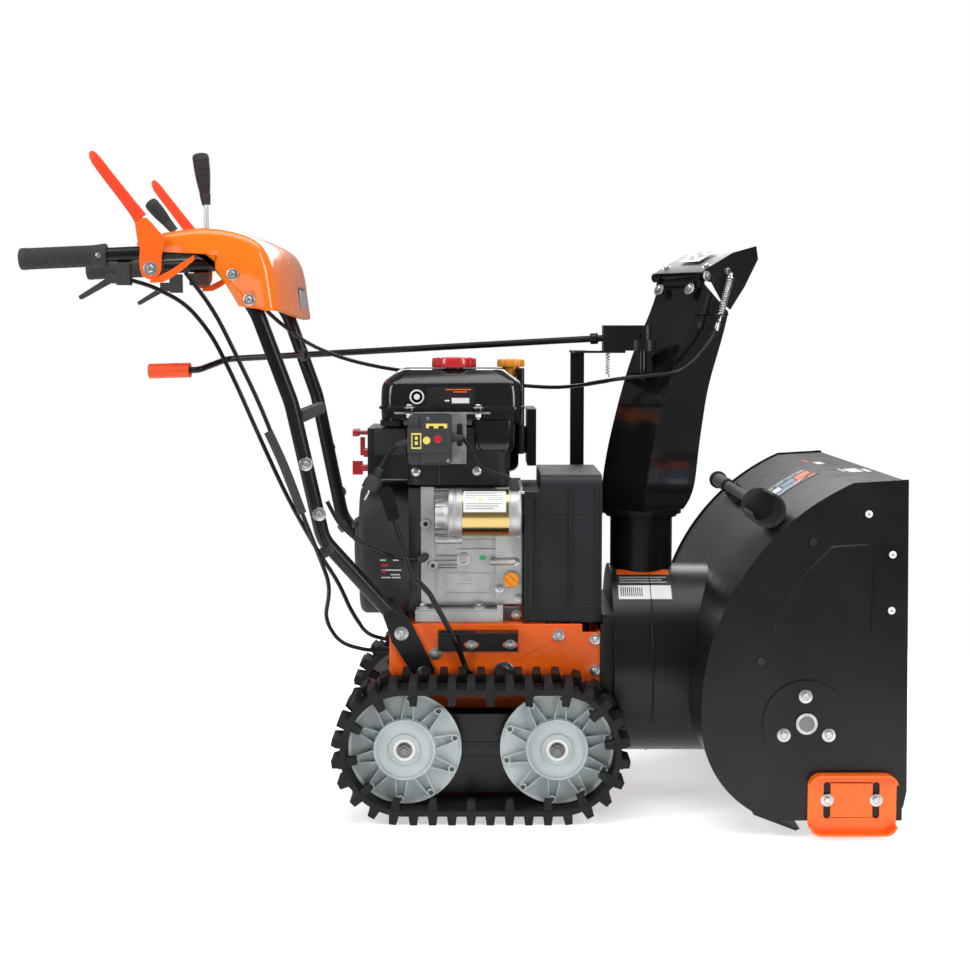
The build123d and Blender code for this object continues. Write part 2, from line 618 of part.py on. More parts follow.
def make_tank_and_covers():
    with BuildPart() as tank:
        block((-143, 111), (-128, 118), (652, 752))
        fillet(tank.edges().filter_by(Axis.Z), 30)
        fillet(tank.faces().sort_by(Axis.Z)[-1].edges(), 16)
        with BuildSketch(Plane.XY.offset(659)):
            with Locations((-16, -5)):
                RectangleRounded(240, 232, 24)
        extrude(amount=86, mode=Mode.SUBTRACT)
        for x, y in ((-13, -60), (87, 0)):
            disc(Plane.XY.offset(740), (x, y), 22, 14)
            disc(Plane.XY.offset(730), (x, y), 16, 30, Mode.SUBTRACT)
    write(tank, "fuel_tank")
    with BuildPart() as shroud:
        block((-94, 84), (-126, 116), (553, 652))
        fillet(shroud.edges().filter_by(Axis.Z), 24)
        with BuildSketch(Plane.XY.offset(549)):
            with Locations((-5, -5)):
                RectangleRounded(170, 234, 20)
        extrude(amount=99, mode=Mode.SUBTRACT)
        block((-162, -92), (-112, 60), (562, 650))
    write(shroud, "engine_shroud")
    with BuildPart() as cover:
        # the top steps down behind, where the recoil of the engine's side cover begins
        block((108, 243), (-130, 130), (315, 541))
        block((137, 243), (-130, 130), (541, 571))
        fillet(cover.edges().filter_by(Axis.X).group_by(Axis.Z)[-1], 22)
        slab(front_plane(112), [(-126, 310), (126, 310), (126, 537), (-126, 537)], 127, Mode.SUBTRACT)
        slab(front_plane(141), [(-126, 530), (126, 530), (126, 552), (111, 567), (-111, 567), (-126, 552)], 98,
             Mode.SUBTRACT)
        disc(front_plane(100), (0, CRANK_Z), 40, 20, Mode.SUBTRACT)
        block((128, 131), (-134, -130), (335, 530))
        block((186, 189), (-134, -130), (335, 545))
    write(cover, "belt_cover")
    with BuildPart() as muffler:
        block((0, 104), (122, 196), (556, 676))
        fillet(muffler.edges(), 16)
        disc(side_plane(122), (60, 600), 16, 0.5)
        block((118, 134), (40, 190), (574, 677))
        block((100, 120), (150, 170), (590, 640))
    write(muffler, "muffler")


def make_starter():
    with BuildPart() as starter:
        centre = (-150, 507)
        disc(front_plane(2), centre, 41, 80)
        disc(front_plane(-21), centre, 39, 23)
        disc(front_plane(82), centre, 40, 21)
        disc(front_plane(-44), centre, 20, 23)
    write(starter, "starter_motor")
    with BuildPart() as box:
        block((-90, -16), (-163, -128.5), (590, 675))
        fillet(box.edges().filter_by(Axis.Y), 8)
        fillet(box.faces().sort_by(Axis.Y)[0].edges(), 4)
        disc(side_plane(-150), (-39, 635), 9.3, 20, Mode.SUBTRACT)
    write(box, "starter_switch_box")
    with BuildPart() as button:
        disc(side_plane(-156), (-39, 635), 9, 13)
    write(button, "start_button")


def make_engine_controls():
    with BuildPart() as fuel_cap:
        disc(Plane.XY.offset(754.5), (-13, -60), 40, 18)
        disc(Plane.XY.offset(736), (-13, -60), 15.5, 20)
    write(fuel_cap, "fuel_cap")
    with BuildPart() as oil_cap:
        disc(Plane.XY.offset(754.5), (87, 0), 25, 14)
        disc(Plane.XY.offset(736), (87, 0), 15.5, 20)
    write(oil_cap, "coolant_cap")
    with BuildPart() as choke:
        disc(front_plane(-182), (-60, 640), 4, 19.7)
        slab(front_plane(-190), [(-84, 634), (-36, 634), (-36, 646), (-84, 646)], 10, rounding=4)
    write(choke, "choke_knob")
    with BuildPart() as throttle:
        disc(front_plane(-172), (-60, 605), 8, 9.7)
        slab(front_plane(-178), [(-64, 600), (-56, 600), (-54, 632), (-66, 632)], 8)
    write(throttle, "throttle_lever")
    with BuildPart() as key:
        disc(front_plane(-176), (-60, 578), 6, 13.7)
        slab(front_plane(-192), [(-63, 566), (-57, 566), (-57, 590), (-63, 590)], 18)
    write(key, "ignition_key")
    with BuildPart() as recoil:
        block((-196, -184), (-40, 40), (468, 480))
        fillet(recoil.edges(), 4)
        block((-184.5, -178.5), (-4, 4), (470, 478))
    write(recoil, "recoil_handle")


# ---- handles -----------------------------------------------------------------------------------
HANDLE_ROUTE = [(-717, -HANDLE_Y, 934.5), (-412, -HANDLE_Y, 948), (-337, -226, 853), (-281, -214, 697),
                (-232, -192, 466), (-126, -158, 341)]


def make_handlebars():
    with BuildPart() as bar:
        tube(HANDLE_ROUTE, [38, 120, 160, 60], TUBE_R, TUBE_BORE)
        slab(side_plane(-FRAME_Y), [(-142, 352), (-118, 362), (-88, 320), (-46, 236), (-52, 214), (-74, 212),
             (-120, 284)], 5)
    write(bar, "handlebar_right")
    write_left(bar, "handlebar_left")
    start, end = Vector(*HANDLE_ROUTE[0]), Vector(*HANDLE_ROUTE[1])
    along = (end - start).normalized()
    with BuildPart() as grips:
        for side in (-1, 1):
            base = Plane(origin=(GRIP_END, side * HANDLE_Y, 934.3), z_dir=(along.X, 0, along.Z))
            disc(base, (0, 0), GRIP_R, 143)
            disc(base.offset(137), (0, 0), GRIP_R + 1.5, 6)
            disc(base.offset(4), (0, 0), TUBE_R + RUN_FIT, 150, Mode.SUBTRACT)
    write(grips, "handle_grips")


PIVOT = (-503.0, 918.0)
TRIGGER_PIVOT = (-571.0, 903.0)


def make_control_brackets():
    """Clamped blocks below each handle that carry the clutch lever and the steering trigger."""
    with BuildPart() as brackets:
        for side in (-1, 1):
            y = sorted((side * 247, side * 225))
            block((-524, -488), y, (906, 929))
            block((-562, -540), y, (892, 927))
            for ear in ((side * 247, side * 243), (side * 229, side * 225)):
                block((-580, -562), sorted(ear), (895, 911))
            disc(side_plane(y[1]), TRIGGER_PIVOT, 3, 22)
            disc(side_plane(max(side * 264, side * 246)), PIVOT, 4, 18)
        # eye that steadies the chute crank's rod beside the left tube
        rod = CRANK_REAR + CRANK_DIR * 158
        block((rod.X - 6, rod.X + 6), (rod.Y + 8, 206), (rod.Z - 6, rod.Z + 6))
        eye = Plane(origin=rod, z_dir=CRANK_DIR)
        disc(eye, (0, 0), 12, 5, both=True)
        disc(eye, (0, 0), 6 + RUN_FIT, 30, Mode.SUBTRACT, both=True)
        # channel between the handle tubes
        block((-278, -264), (-198, 198), (664, 684))
        block((-275, -267), (-198, 198), (660, 681), Mode.SUBTRACT)
    write(brackets, "handle_brackets")


def lever_outline():
    return [(-597, 1101), (-590, 1113), (-506, 1000), (-478, 966), (-486, 940), (-488, 914), (-496, 905),
            (-510, 905), (-518, 914), (-520, 950), (-532, 985)]


def make_levers():
    with BuildPart() as lever:
        slab(side_plane(-256), lever_outline(), 4, rounding=4)
        disc(side_plane(-250), PIVOT, 4 + RUN_FIT, 20, Mode.SUBTRACT)
    write(lever, "auger_clutch_lever")
    write_left(lever, "drive_clutch_lever")
    with BuildPart() as trigger:
        disc(side_plane(-231), TRIGGER_PIVOT, 7, 10)
        slab(side_plane(-231), [(-577, 905), (-626, 874), (-623, 868), (-570, 897)], 10, rounding=2)
        disc(side_plane(-220), TRIGGER_PIVOT, 3 + RUN_FIT, 40, Mode.SUBTRACT)
    write(trigger, "steering_trigger_right")
    write_left(trigger, "steering_trigger_left")
    with BuildPart() as joystick:
        tube([(-447, -40, 958), (-447, -40, 1042)], None, 4)
        tube([(-447, -40, 1042), (-456, -40, 1127)], None, 15)
        disc(side_plane(-30), (-447, 958), 9, 20)
    write(joystick, "deflector_lever")
    with BuildPart() as speed:
        tube([(-484, 60, 957), (-524, 60, 1002)], None, 4)
        tube([(-524, 60, 1002), (-566, 60, 1052)], None, 13)
        disc(side_plane(70), (-484, 957), 9, 20)
    write(speed, "speed_lever")
    with BuildPart() as height:
        tube([(12.5, -149.2, 225), (4, -149.2, 249), (-9, -166, 288), (-54, -166, 371), (-85, -166, 404),
              (-115, -166, 498)], [20, 20, 60, 30], 4.8)
        slab(side_plane(-161), [(-104, 500), (-123, 494), (-139, 544), (-125, 555), (-116, 548)], 10, rounding=4)
        disc(side_plane(-143.8), (12.5, 225), 9, 10.8)
    write(height, "height_lever")
    with BuildPart() as gate:
        block((-40, 98), (-147, -143), (267, 304))
        block((-40, 98), (-178, -147), (300.5, 304))
        block((-36, 24), (-175, -156), (290, 310), Mode.SUBTRACT)
    write(gate, "lever_gate")


def make_dash():
    outer = [(-530, 958), (-526, 966), (-472, 979), (-419, 985), (-364, 981), (-320, 973), (-284, 959), (-264, 940),
             (-255, 870), (-250, 836), (-268, 835), (-308, 853), (-361, 857), (-399, 918), (-399, 946)]
    inner = [(-524, 900), (-524, 962), (-471, 975.5), (-419, 981.5), (-364, 977.5), (-321, 969.5), (-287, 956),
             (-268, 938), (-259, 870), (-254, 820)]
    with BuildPart() as dash:
        slab(side_plane(0), outer, 252, both=True)
        slab(side_plane(0), inner, 249, Mode.SUBTRACT, both=True)
        block((-482, -412), (-46, -34), (960, 1000), Mode.SUBTRACT)
        block((-520, -450), (54, 66), (950, 1000), Mode.SUBTRACT)
    write(dash, "dash_panel")


# ---- cables ------------------------------------------------------------------------------------
def make_cables():
    with BuildPart() as cables:
        cable("deflector cable", [(-342, 96, 838), (-289, 106, 796), (-225, 120, 768), (-160, 130, 752), (-80, 134, 740),
              (20, 136, 727), (110, 134, 717), (168, 104, 714), (210, 50, 719), (240, 4, 726)], 3.5)
        cable("auger cable", [(-446, -262, 912), (-400, -262, 850), (-362, -258, 770), (-330, -252, 700),
              (-296, -246, 610), (-262, -242, 516), (-234, -222, 436), (-222, -178, 384), (-236, -135, 320),
              (-212, -118, 276), (-164, -112, 262), (-125, -110, 262)], 3.5)
        cable("steering cable", [(-539, -236, 900), (-505, -236, 890), (-450, -238, 862), (-408, -245, 812),
              (-372, -247, 740), (-330, -243, 640), (-286, -238, 540), (-240, -222, 452), (-208, -180, 392),
              (-190, -140, 336), (-164, -124, 292), (-125, -120, 282)], 3.5)
        cable("throttle cable", [(-226, -182, 530), (-206, -178, 490), (-172, -168, 458), (-138, -150, 438),
              (-105, -138, 427), (-78, -126, 424), (-61, -111.5, 427)], 3.5)
        cable("starter lead", [(-15.5, -147, 636), (4, -147, 635), (18, -150, 617), (28, -152, 592), (48, -152, 577),
              (72, -152, 572), (84, -152, 565), (91, -152, 553)], 4)
    write(cables, "control_cables")
    with BuildPart() as end:
        a = math.radians(CHUTE_HEADING)
        wall = CHUTE_W / 2 + 7
        near = lambda x, out, z: (CHUTE_X + x * math.cos(a) + out * math.sin(a),
                                  x * math.sin(a) - out * math.cos(a), z)
        cable("deflector cable end", [(249.5, -10, 728), (276, -44, 734), near(10, wall + 12, 744),
              near(50, wall + 12, 762), near(96, wall + 12, 800), near(118, wall + 12, 835)], 3.5)
        tube([near(118, wall + 12, 835), near(148, wall + 12, 918)], None, 3)
    write(end, "deflector_cable")
    with BuildPart() as cord:
        cable("plug cord", PLUG_CORD, 3.5)
    write(cord, "plug_cord")
    with BuildPart() as plug:
        # along the plug: a slim neck on the cord, the round body and two pins
        end = Plane(origin=PLUG_CORD[-1], x_dir=(0, 1, 0), z_dir=(-9, 0, -18))
        disc(end, (0, 0), 8, 16)
        disc(end.offset(16), (0, 0), 16, 26)
        fillet(plug.edges().group_by(SortBy.LENGTH)[-1], 4)
        for y in (-9.5, 9.5):
            disc(end.offset(42), (y, 0), 2.4, 19)
    write(plug, "plug")


PLUG_CORD = [(-91, -148, 628), (-108, -148, 624), (-124, -150, 610), (-132.5, -152, 594), (-137, -152, 585)]


# ---- fasteners -----------------------------------------------------------------------------------
def make_fasteners():
    """Hex heads on the frame, the handles, the housing sides and the shoes."""
    frame_bolts = [(-103, 298, 148), (-64.5, 229, 148), (168, 294, 143), (231, 287, 143), (231, 233, 143),
                   (-45, 262, 143)]
    housing_bolts = [(555, 233, 359), (521, 170, 359), (593, 170, 359), (592, 64, 360), (671, 64, 360)]
    with BuildPart() as bolts:
        for side in (-1, 1):
            for x, z, y in frame_bolts + housing_bolts:
                with BuildSketch(side_plane(max(side * y, side * (y + 6)))):
                    with Locations((x, z)):
                        RegularPolygon(7.5, 6)
                extrude(amount=6)
    write(bolts, "fasteners")


make_auger_housing()
make_side_plates()
make_scraper_bar()
make_skid_shoes()
make_clean_out_tool()
make_auger()
make_auger_gearbox()
make_impeller()
make_chute()
make_deflector()
make_chute_support()
make_chute_crank()
make_tractor_frame()
make_bearings()
make_drive()
make_wheels()
make_tracks()
make_engine()
make_tank_and_covers()
make_starter()
make_engine_controls()
make_handlebars()
make_control_brackets()
make_levers()
make_dash()
make_cables()
make_fasteners()
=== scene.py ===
"""Looks of the tracked two-stage snowblower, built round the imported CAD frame.

Metres, +X is the direction of travel, +Y the operator's left, +Z up.
"""
import math
import bmesh
import bpy
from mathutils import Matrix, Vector


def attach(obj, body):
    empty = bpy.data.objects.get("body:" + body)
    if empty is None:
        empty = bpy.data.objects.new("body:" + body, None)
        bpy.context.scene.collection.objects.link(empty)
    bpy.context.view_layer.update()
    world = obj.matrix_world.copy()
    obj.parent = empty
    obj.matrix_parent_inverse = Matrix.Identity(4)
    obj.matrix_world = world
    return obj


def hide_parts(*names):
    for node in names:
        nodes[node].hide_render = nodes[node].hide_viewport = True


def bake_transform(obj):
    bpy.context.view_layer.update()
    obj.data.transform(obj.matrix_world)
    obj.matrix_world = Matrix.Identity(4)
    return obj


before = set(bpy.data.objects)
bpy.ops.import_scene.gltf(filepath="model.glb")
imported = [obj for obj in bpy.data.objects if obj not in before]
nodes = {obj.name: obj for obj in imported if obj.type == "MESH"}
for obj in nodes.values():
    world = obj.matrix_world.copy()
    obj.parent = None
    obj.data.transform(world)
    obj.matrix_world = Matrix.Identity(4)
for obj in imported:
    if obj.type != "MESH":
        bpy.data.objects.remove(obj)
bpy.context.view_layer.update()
MM = 0.001
X_AXIS, Y_AXIS, Z_AXIS = Vector((1, 0, 0)), Vector((0, 1, 0)), Vector((0, 0, 1))
OUT = -Y_AXIS  # towards the operator's right, the side with the starter


# ---- camera, floor and light -------------------------------------------------------------------
def set_stage():
    camera_data = bpy.data.cameras.new("camera")
    camera_data.lens = 63.1
    camera_data.sensor_width = 36
    camera = bpy.data.objects.new("camera", camera_data)
    camera.location = (0.041, -3.045, 0.806)
    camera.rotation_euler = (math.radians(90 - 4.95), 0, 0)
    bpy.context.scene.collection.objects.link(camera)
    bpy.context.scene.camera = camera

    # the studio lights softly, and its backdrop shows as white paper
    world = bpy.data.worlds.new("studio")
    world.use_nodes = True
    tree = world.node_tree
    sky = tree.nodes["Background"]
    sky.inputs["Color"].default_value = (0.97, 0.985, 1, 1)
    sky.inputs["Strength"].default_value = 0.24
    paper = tree.nodes.new("ShaderNodeBackground")
    paper.inputs["Color"].default_value = (1, 1, 1, 1)
    paper.inputs["Strength"].default_value = 1.0
    seen, join = tree.nodes.new("ShaderNodeLightPath"), tree.nodes.new("ShaderNodeMixShader")
    tree.links.new(seen.outputs["Is Camera Ray"], join.inputs[0])
    tree.links.new(sky.outputs["Background"], join.inputs[1])
    tree.links.new(paper.outputs["Background"], join.inputs[2])
    tree.links.new(join.outputs["Shader"], tree.nodes["World Output"].inputs["Surface"])
    bpy.context.scene.world = world
    bpy.context.scene.view_settings.view_transform = "Standard"

    def area(name, spot, aim, size, power):
        data = bpy.data.lights.new(name, "AREA")
        data.shape = "RECTANGLE"
        data.size, data.size_y = size
        data.energy = power
        lamp = bpy.data.objects.new(name, data)
        lamp.location = spot
        lamp.rotation_euler = (Vector(aim) - Vector(spot)).to_track_quat("-Z", "Y").to_euler()
        bpy.context.scene.collection.objects.link(lamp)

    area("softbox_top", (0.2, -0.4, 3.2), (0, 0, 0.5), (3.4, 1.6), 62)
    area("softbox_left", (-2.7, -2.0, 1.9), (0, 0, 0.5), (0.6, 2.6), 58)
    area("softbox_right", (2.7, -2.2, 1.7), (0.2, 0, 0.4), (0.6, 2.6), 58)
    area("softbox_back", (0.4, 2.8, 2.2), (0, 0, 0.4), (3.0, 1.2), 46)

    bm = bmesh.new()
    bmesh.ops.create_circle(bm, cap_ends=True, segments=64, radius=1.75)
    sheet = surface("floor_paper", (0.93, 0.93, 0.93), 0.95, grain=(900, 0.04), patch=(2, 0.004), rough_spread=0.02,
                    spec=0.1)
    glow = sheet.node_tree.nodes["Principled BSDF"]
    glow.inputs["Emission Color"].default_value = (1, 1, 1, 1)
    glow.inputs["Emission Strength"].default_value = 0.55
    floor = piece("floor", bm, [sheet], None)


# ---- materials ---------------------------------------------------------------------------------
def surface(name, color, rough=0.45, metal=0.0, coat=0.0, grain=(700, 0.15), depth=0.0004, patch=(9, 0.10),
            rough_spread=0.08, stretch=(1, 1, 1), second=None, spec=0.5):
    """A procedural finish: colour drift in patches, uneven roughness and a fine bump."""
    made = bpy.data.materials.get(name)
    if made:
        return made
    mat = bpy.data.materials.new(name)
    mat.use_nodes = True
    tree = mat.node_tree
    shader = tree.nodes["Principled BSDF"]
    shader.inputs["Metallic"].default_value = metal
    shader.inputs["Coat Weight"].default_value = coat
    shader.inputs["Coat Roughness"].default_value = 0.08
    shader.inputs["Specular IOR Level"].default_value = spec
    coords = tree.nodes.new("ShaderNodeTexCoord")
    mapping = tree.nodes.new("ShaderNodeMapping")
    mapping.inputs["Scale"].default_value = stretch
    tree.links.new(coords.outputs["Object"], mapping.inputs["Vector"])

    def clouds(scale, detail):
        tex = tree.nodes.new("ShaderNodeTexNoise")
        tex.inputs["Scale"].default_value = scale
        tex.inputs["Detail"].default_value = detail
        tree.links.new(mapping.outputs["Vector"], tex.inputs["Vector"])
        return tex

    patches = clouds(patch[0], 4)
    mix = tree.nodes.new("ShaderNodeMix")
    mix.data_type = "RGBA"
    dark = [c * (1 - patch[1]) for c in color]
    light = list(second) if second else [min(1, c * (1 + patch[1]) + 0.004) for c in color]
    mix.inputs[6].default_value = (*dark, 1)
    mix.inputs[7].default_value = (*light, 1)
    ramp = tree.nodes.new("ShaderNodeMapRange")
    ramp.inputs["From Min"].default_value = 0.32
    ramp.inputs["From Max"].default_value = 0.68
    tree.links.new(patches.outputs["Fac"], ramp.inputs["Value"])
    tree.links.new(ramp.outputs["Result"], mix.inputs[0])
    tree.links.new(mix.outputs[2], shader.inputs["Base Color"])
    wipe = clouds(patch[0] * 4.3, 6)
    spread = tree.nodes.new("ShaderNodeMapRange")
    spread.inputs["To Min"].default_value = max(0.02, rough - rough_spread)
    spread.inputs["To Max"].default_value = min(1, rough + rough_spread)
    tree.links.new(wipe.outputs["Fac"], spread.inputs["Value"])
    tree.links.new(spread.outputs["Result"], shader.inputs["Roughness"])
    fine = clouds(grain[0], 3)
    bump = tree.nodes.new("ShaderNodeBump")
    bump.inputs["Strength"].default_value = grain[1]
    bump.inputs["Distance"].default_value = depth
    tree.links.new(fine.outputs["Fac"], bump.inputs["Height"])
    tree.links.new(bump.outputs["Normal"], shader.inputs["Normal"])
    return mat


def make_materials():
    table = {
        "orange": dict(color=(1.0, 0.135, 0.006), rough=0.36, coat=0.15, grain=(420, 0.10), patch=(5, 0.05), spec=0.4),
        "dash_orange": dict(color=(1.0, 0.19, 0.003), rough=0.2, coat=0.5, grain=(300, 0.03), patch=(4, 0.05),
                            spec=0.4),
        "lever_dip": dict(color=(0.88, 0.062, 0.018), rough=0.4, grain=(700, 0.02), patch=(8, 0.06), depth=0.00005,
                          spec=0.3),
        "black_coat": dict(color=(0.0055, 0.006, 0.0068), rough=0.3, grain=(620, 0.14), patch=(6, 0.2), spec=0.3),
        "black_gloss": dict(color=(0.004, 0.004, 0.005), rough=0.15, coat=0.3, grain=(380, 0.04), patch=(5, 0.2),
                            spec=0.35),
        "black_plastic": dict(color=(0.009, 0.009, 0.010), rough=0.46, grain=(1500, 0.3), depth=0.0003, spec=0.3),
        "cover_plastic": dict(color=(0.012, 0.013, 0.016), rough=0.5, grain=(1300, 0.32), depth=0.0003, spec=0.32),
        "grip_rubber": dict(color=(0.009, 0.009, 0.010), rough=0.5, grain=(900, 0.3), spec=0.3),
        "cable_jacket": dict(color=(0.006, 0.006, 0.007), rough=0.36, grain=(1600, 0.15), spec=0.3),
        "tread": dict(color=(0.006, 0.006, 0.0065), rough=0.62, grain=(600, 0.55), depth=0.0008, patch=(14, 0.35),
                      second=(0.014, 0.013, 0.013), spec=0.25),
        "wheel_grey": dict(color=(0.42, 0.47, 0.48), rough=0.42, grain=(260, 0.16), patch=(12, 0.10),
                           second=(0.53, 0.58, 0.58), spec=0.35),
        "cast": dict(color=(0.50, 0.51, 0.51), rough=0.44, metal=0.85, grain=(1100, 0.55), depth=0.0005,
                     patch=(20, 0.12), second=(0.64, 0.64, 0.63)),
        "machined": dict(color=(0.62, 0.62, 0.62), rough=0.26, metal=1.0, grain=(900, 0.2), patch=(30, 0.08)),
        "zinc": dict(color=(0.56, 0.58, 0.60), rough=0.3, metal=1.0, grain=(1200, 0.25), patch=(60, 0.15),
                     second=(0.72, 0.73, 0.72)),
        "gold_can": dict(color=(0.50, 0.34, 0.11), rough=0.2, metal=1.0, grain=(900, 0.12), patch=(7, 0.1),
                         second=(0.66, 0.50, 0.20), stretch=(0.12, 1, 1)),
        "bronze": dict(color=(0.55, 0.33, 0.13), rough=0.35, metal=1.0, grain=(700, 0.2)),
        "dark_steel": dict(color=(0.20, 0.20, 0.21), rough=0.38, metal=1.0, grain=(800, 0.25), patch=(14, 0.2)),
        "red": dict(color=(0.52, 0.012, 0.018), rough=0.27, coat=0.5, grain=(300, 0.06), patch=(14, 0.12)),
        "amber": dict(color=(0.86, 0.30, 0.012), rough=0.3, coat=0.4, grain=(300, 0.06), patch=(14, 0.10)),
        "yellow": dict(color=(0.88, 0.46, 0.015), rough=0.32, coat=0.3, grain=(300, 0.06)),
        "crank_orange": dict(color=(0.85, 0.085, 0.010), rough=0.4, grain=(700, 0.03), depth=0.0001, spec=0.35),
        "lens": dict(color=(0.55, 0.56, 0.58), rough=0.12, coat=1.0, grain=(90, 0.3), depth=0.002),
    }
    for name, color in (("white", (0.78, 0.78, 0.77)), ("yellow", (0.80, 0.62, 0.16)), ("grey", (0.33, 0.34, 0.35)),
                        ("orange", (0.85, 0.13, 0.01)), ("blue", (0.07, 0.25, 0.45)), ("green", (0.03, 0.42, 0.14))):
        table["sticker_" + name] = dict(color=color, rough=0.35, grain=(300, 0.05))
    table["sticker_white"]["patch"] = (30, 0.05)
    table["sticker_black"] = dict(color=(0.015, 0.015, 0.016), rough=0.28, grain=(300, 0.05))
    return {name: surface(name, **look) for name, look in table.items()}


# ---- mesh building -----------------------------------------------------------------------------
def piece(name, bm, mats, body, bevel=0.0, angle=32, replaces=()):
    """Turns a bmesh into a finished piece that rides on a CAD body."""
    mesh = bpy.data.meshes.new(name)
    bmesh.ops.recalc_face_normals(bm, faces=bm.faces)
    bm.to_mesh(mesh)
    bm.free()
    for mat in mats:
        mesh.materials.append(mat)
    obj = bpy.data.objects.new(name, mesh)
    bpy.context.scene.collection.objects.link(obj)
    soften(obj, bevel, angle)
    if body:
        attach(obj, body)
    if replaces:
        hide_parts(*replaces)
    return obj


def soften(obj, bevel, angle=32):
    """Smooth faces, with a small bevel where the surface turns."""
    mesh = obj.data
    mesh.shade_smooth()
    if bevel:
        round_edges(obj, bevel, angle)
    else:
        mesh.set_sharp_from_angle(angle=math.radians(angle))


def round_edges(obj, width, angle):
    mod = obj.modifiers.new("edges", "BEVEL")
    mod.width = width * MM
    mod.segments = 2
    mod.limit_method = "ANGLE"
    mod.angle_limit = math.radians(angle)
    mod.harden_normals = True


def dress(name, look, bevel, angle=28):
    """Gives a CAD node its finish and rounds its edges; its own vertices stay as they are."""
    obj = nodes[name]
    mesh = obj.data
    mesh.materials.clear()
    mesh.materials.append(LOOK[look])
    for face in mesh.polygons:
        face.material_index = 0
    mesh.shade_smooth()
    if mesh.has_custom_normals:
        with bpy.context.temp_override(object=obj, active_object=obj):
            bpy.ops.mesh.customdata_custom_splitnormals_clear()
    weld = obj.modifiers.new("weld", "WELD")
    weld.merge_threshold = 0.00001
    round_edges(obj, bevel, angle)
    return obj


def paint(obj, look, where):
    """Adds a second finish to the faces whose centre passes the test."""
    mesh = obj.data
    mesh.materials.append(LOOK[look])
    index = len(mesh.materials) - 1
    for face in mesh.polygons:
        if where(face.center):
            face.material_index = index


def frame_of(axis):
    """Two unit vectors square to an axis."""
    axis = Vector(axis).normalized()
    guide = Z_AXIS if abs(axis.z) < 0.9 else X_AXIS
    side = guide.cross(axis).normalized()
    return side, axis.cross(side).normalized(), axis


def lathe(bm, profile, origin, axis, segments=40, mat=0, lobes=0, lobe_depth=0.0, start=0.0):
    """Revolves (distance along axis, radius) pairs in mm; lobes make a fluted outline."""
    side, up, axis = frame_of(axis)
    origin = Vector(origin)
    rings = []
    for along, radius in profile:
        along, radius = along * MM, radius * MM
        if not radius:
            rings.append([bm.verts.new(origin + axis * along)])
            continue
        ring = []
        for k in range(segments):
            a = 2 * math.pi * k / segments + start
            r = radius * (1 - lobe_depth * (0.5 + 0.5 * math.cos(lobes * a)) ** 3) if lobes else radius
            ring.append(bm.verts.new(origin + axis * along + (side * math.cos(a) + up * math.sin(a)) * r))
        rings.append(ring)
    for low, high in zip(rings, rings[1:]):
        for k in range(segments):
            nxt = (k + 1) % segments
            if len(low) == 1:
                corners = [low[0], high[k], high[nxt]]
            elif len(high) == 1:
                corners = [low[k], low[nxt], high[0]]
            else:
                corners = [low[k], low[nxt], high[nxt], high[k]]
            bm.faces.new(corners).material_index = mat
    for ring in (rings[0], rings[-1]):
        if len(ring) > 1:
            bm.faces.new(ring).material_index = mat


def prism(bm, outline, origin, x_dir, y_dir, depth, mat=0):
    """Extrudes an outline in mm along x_dir cross y_dir by depth, from an origin in metres."""
    origin, x_dir, y_dir = Vector(origin), Vector(x_dir).normalized(), Vector(y_dir).normalized()
    out = x_dir.cross(y_dir) * (depth * MM)
    low = [bm.verts.new(origin + x_dir * (x * MM) + y_dir * (y * MM)) for x, y in outline]
    high = [bm.verts.new(v.co + out) for v in low]
    bm.faces.new(low).material_index = mat
    bm.faces.new(high).material_index = mat
    for k in range(len(low)):
        nxt = (k + 1) % len(low)
        bm.faces.new([low[k], low[nxt], high[nxt], high[k]]).material_index = mat


def slab(bm, low, high, mat=0):
    """A box between two corners in mm."""
    (x0, y0, z0), (x1, y1, z1) = low, high
    prism(bm, [(x0, y0), (x1, y0), (x1, y1), (x0, y1)], mm(0, 0, z0), X_AXIS, Y_AXIS, z1 - z0, mat)


def rounded(width, height, radius, steps=6):
    """Outline of a rectangle with round corners, centred on the origin."""
    points = []
    for corner, (sx, sy) in enumerate(((1, 1), (-1, 1), (-1, -1), (1, -1))):
        for k in range(steps + 1):
            a = math.pi / 2 * (corner + k / steps)
            points.append((sx * (width / 2 - radius) + radius * math.cos(a),
                           sy * (height / 2 - radius) + radius * math.sin(a)))
    return points


def loft(bm, sections, mat=0):
    """Skins closed outlines of equal length, given as lists of points, and caps both ends."""
    rings = [[bm.verts.new(p) for p in section] for section in sections]
    for low, high in zip(rings, rings[1:]):
        for k in range(len(low)):
            nxt = (k + 1) % len(low)
            bm.faces.new([low[k], low[nxt], high[nxt], high[k]]).material_index = mat
    bm.faces.new(rings[0]).material_index = mat
    bm.faces.new(rings[-1]).material_index = mat


def bolt(bm, spot, axis, size, mat=0, turn=0.3):
    """A flanged hex head with a chamfered crown, on a washer; size is half its width across corners, in mm."""
    lathe(bm, [(0, size * 1.75), (1.3, size * 1.75), (1.6, size * 1.6)], spot, axis, 28, mat)
    lathe(bm, [(1, size * 1.02), (size * 0.85, size * 1.02), (size * 1.05, size * 0.82), (size * 1.05, 0)],
          spot, axis, 6, mat, start=turn)
    lathe(bm, [(size * 1.03, size * 0.62), (size * 1.10, size * 0.55), (size * 1.10, 0)], spot, axis, 20, mat)


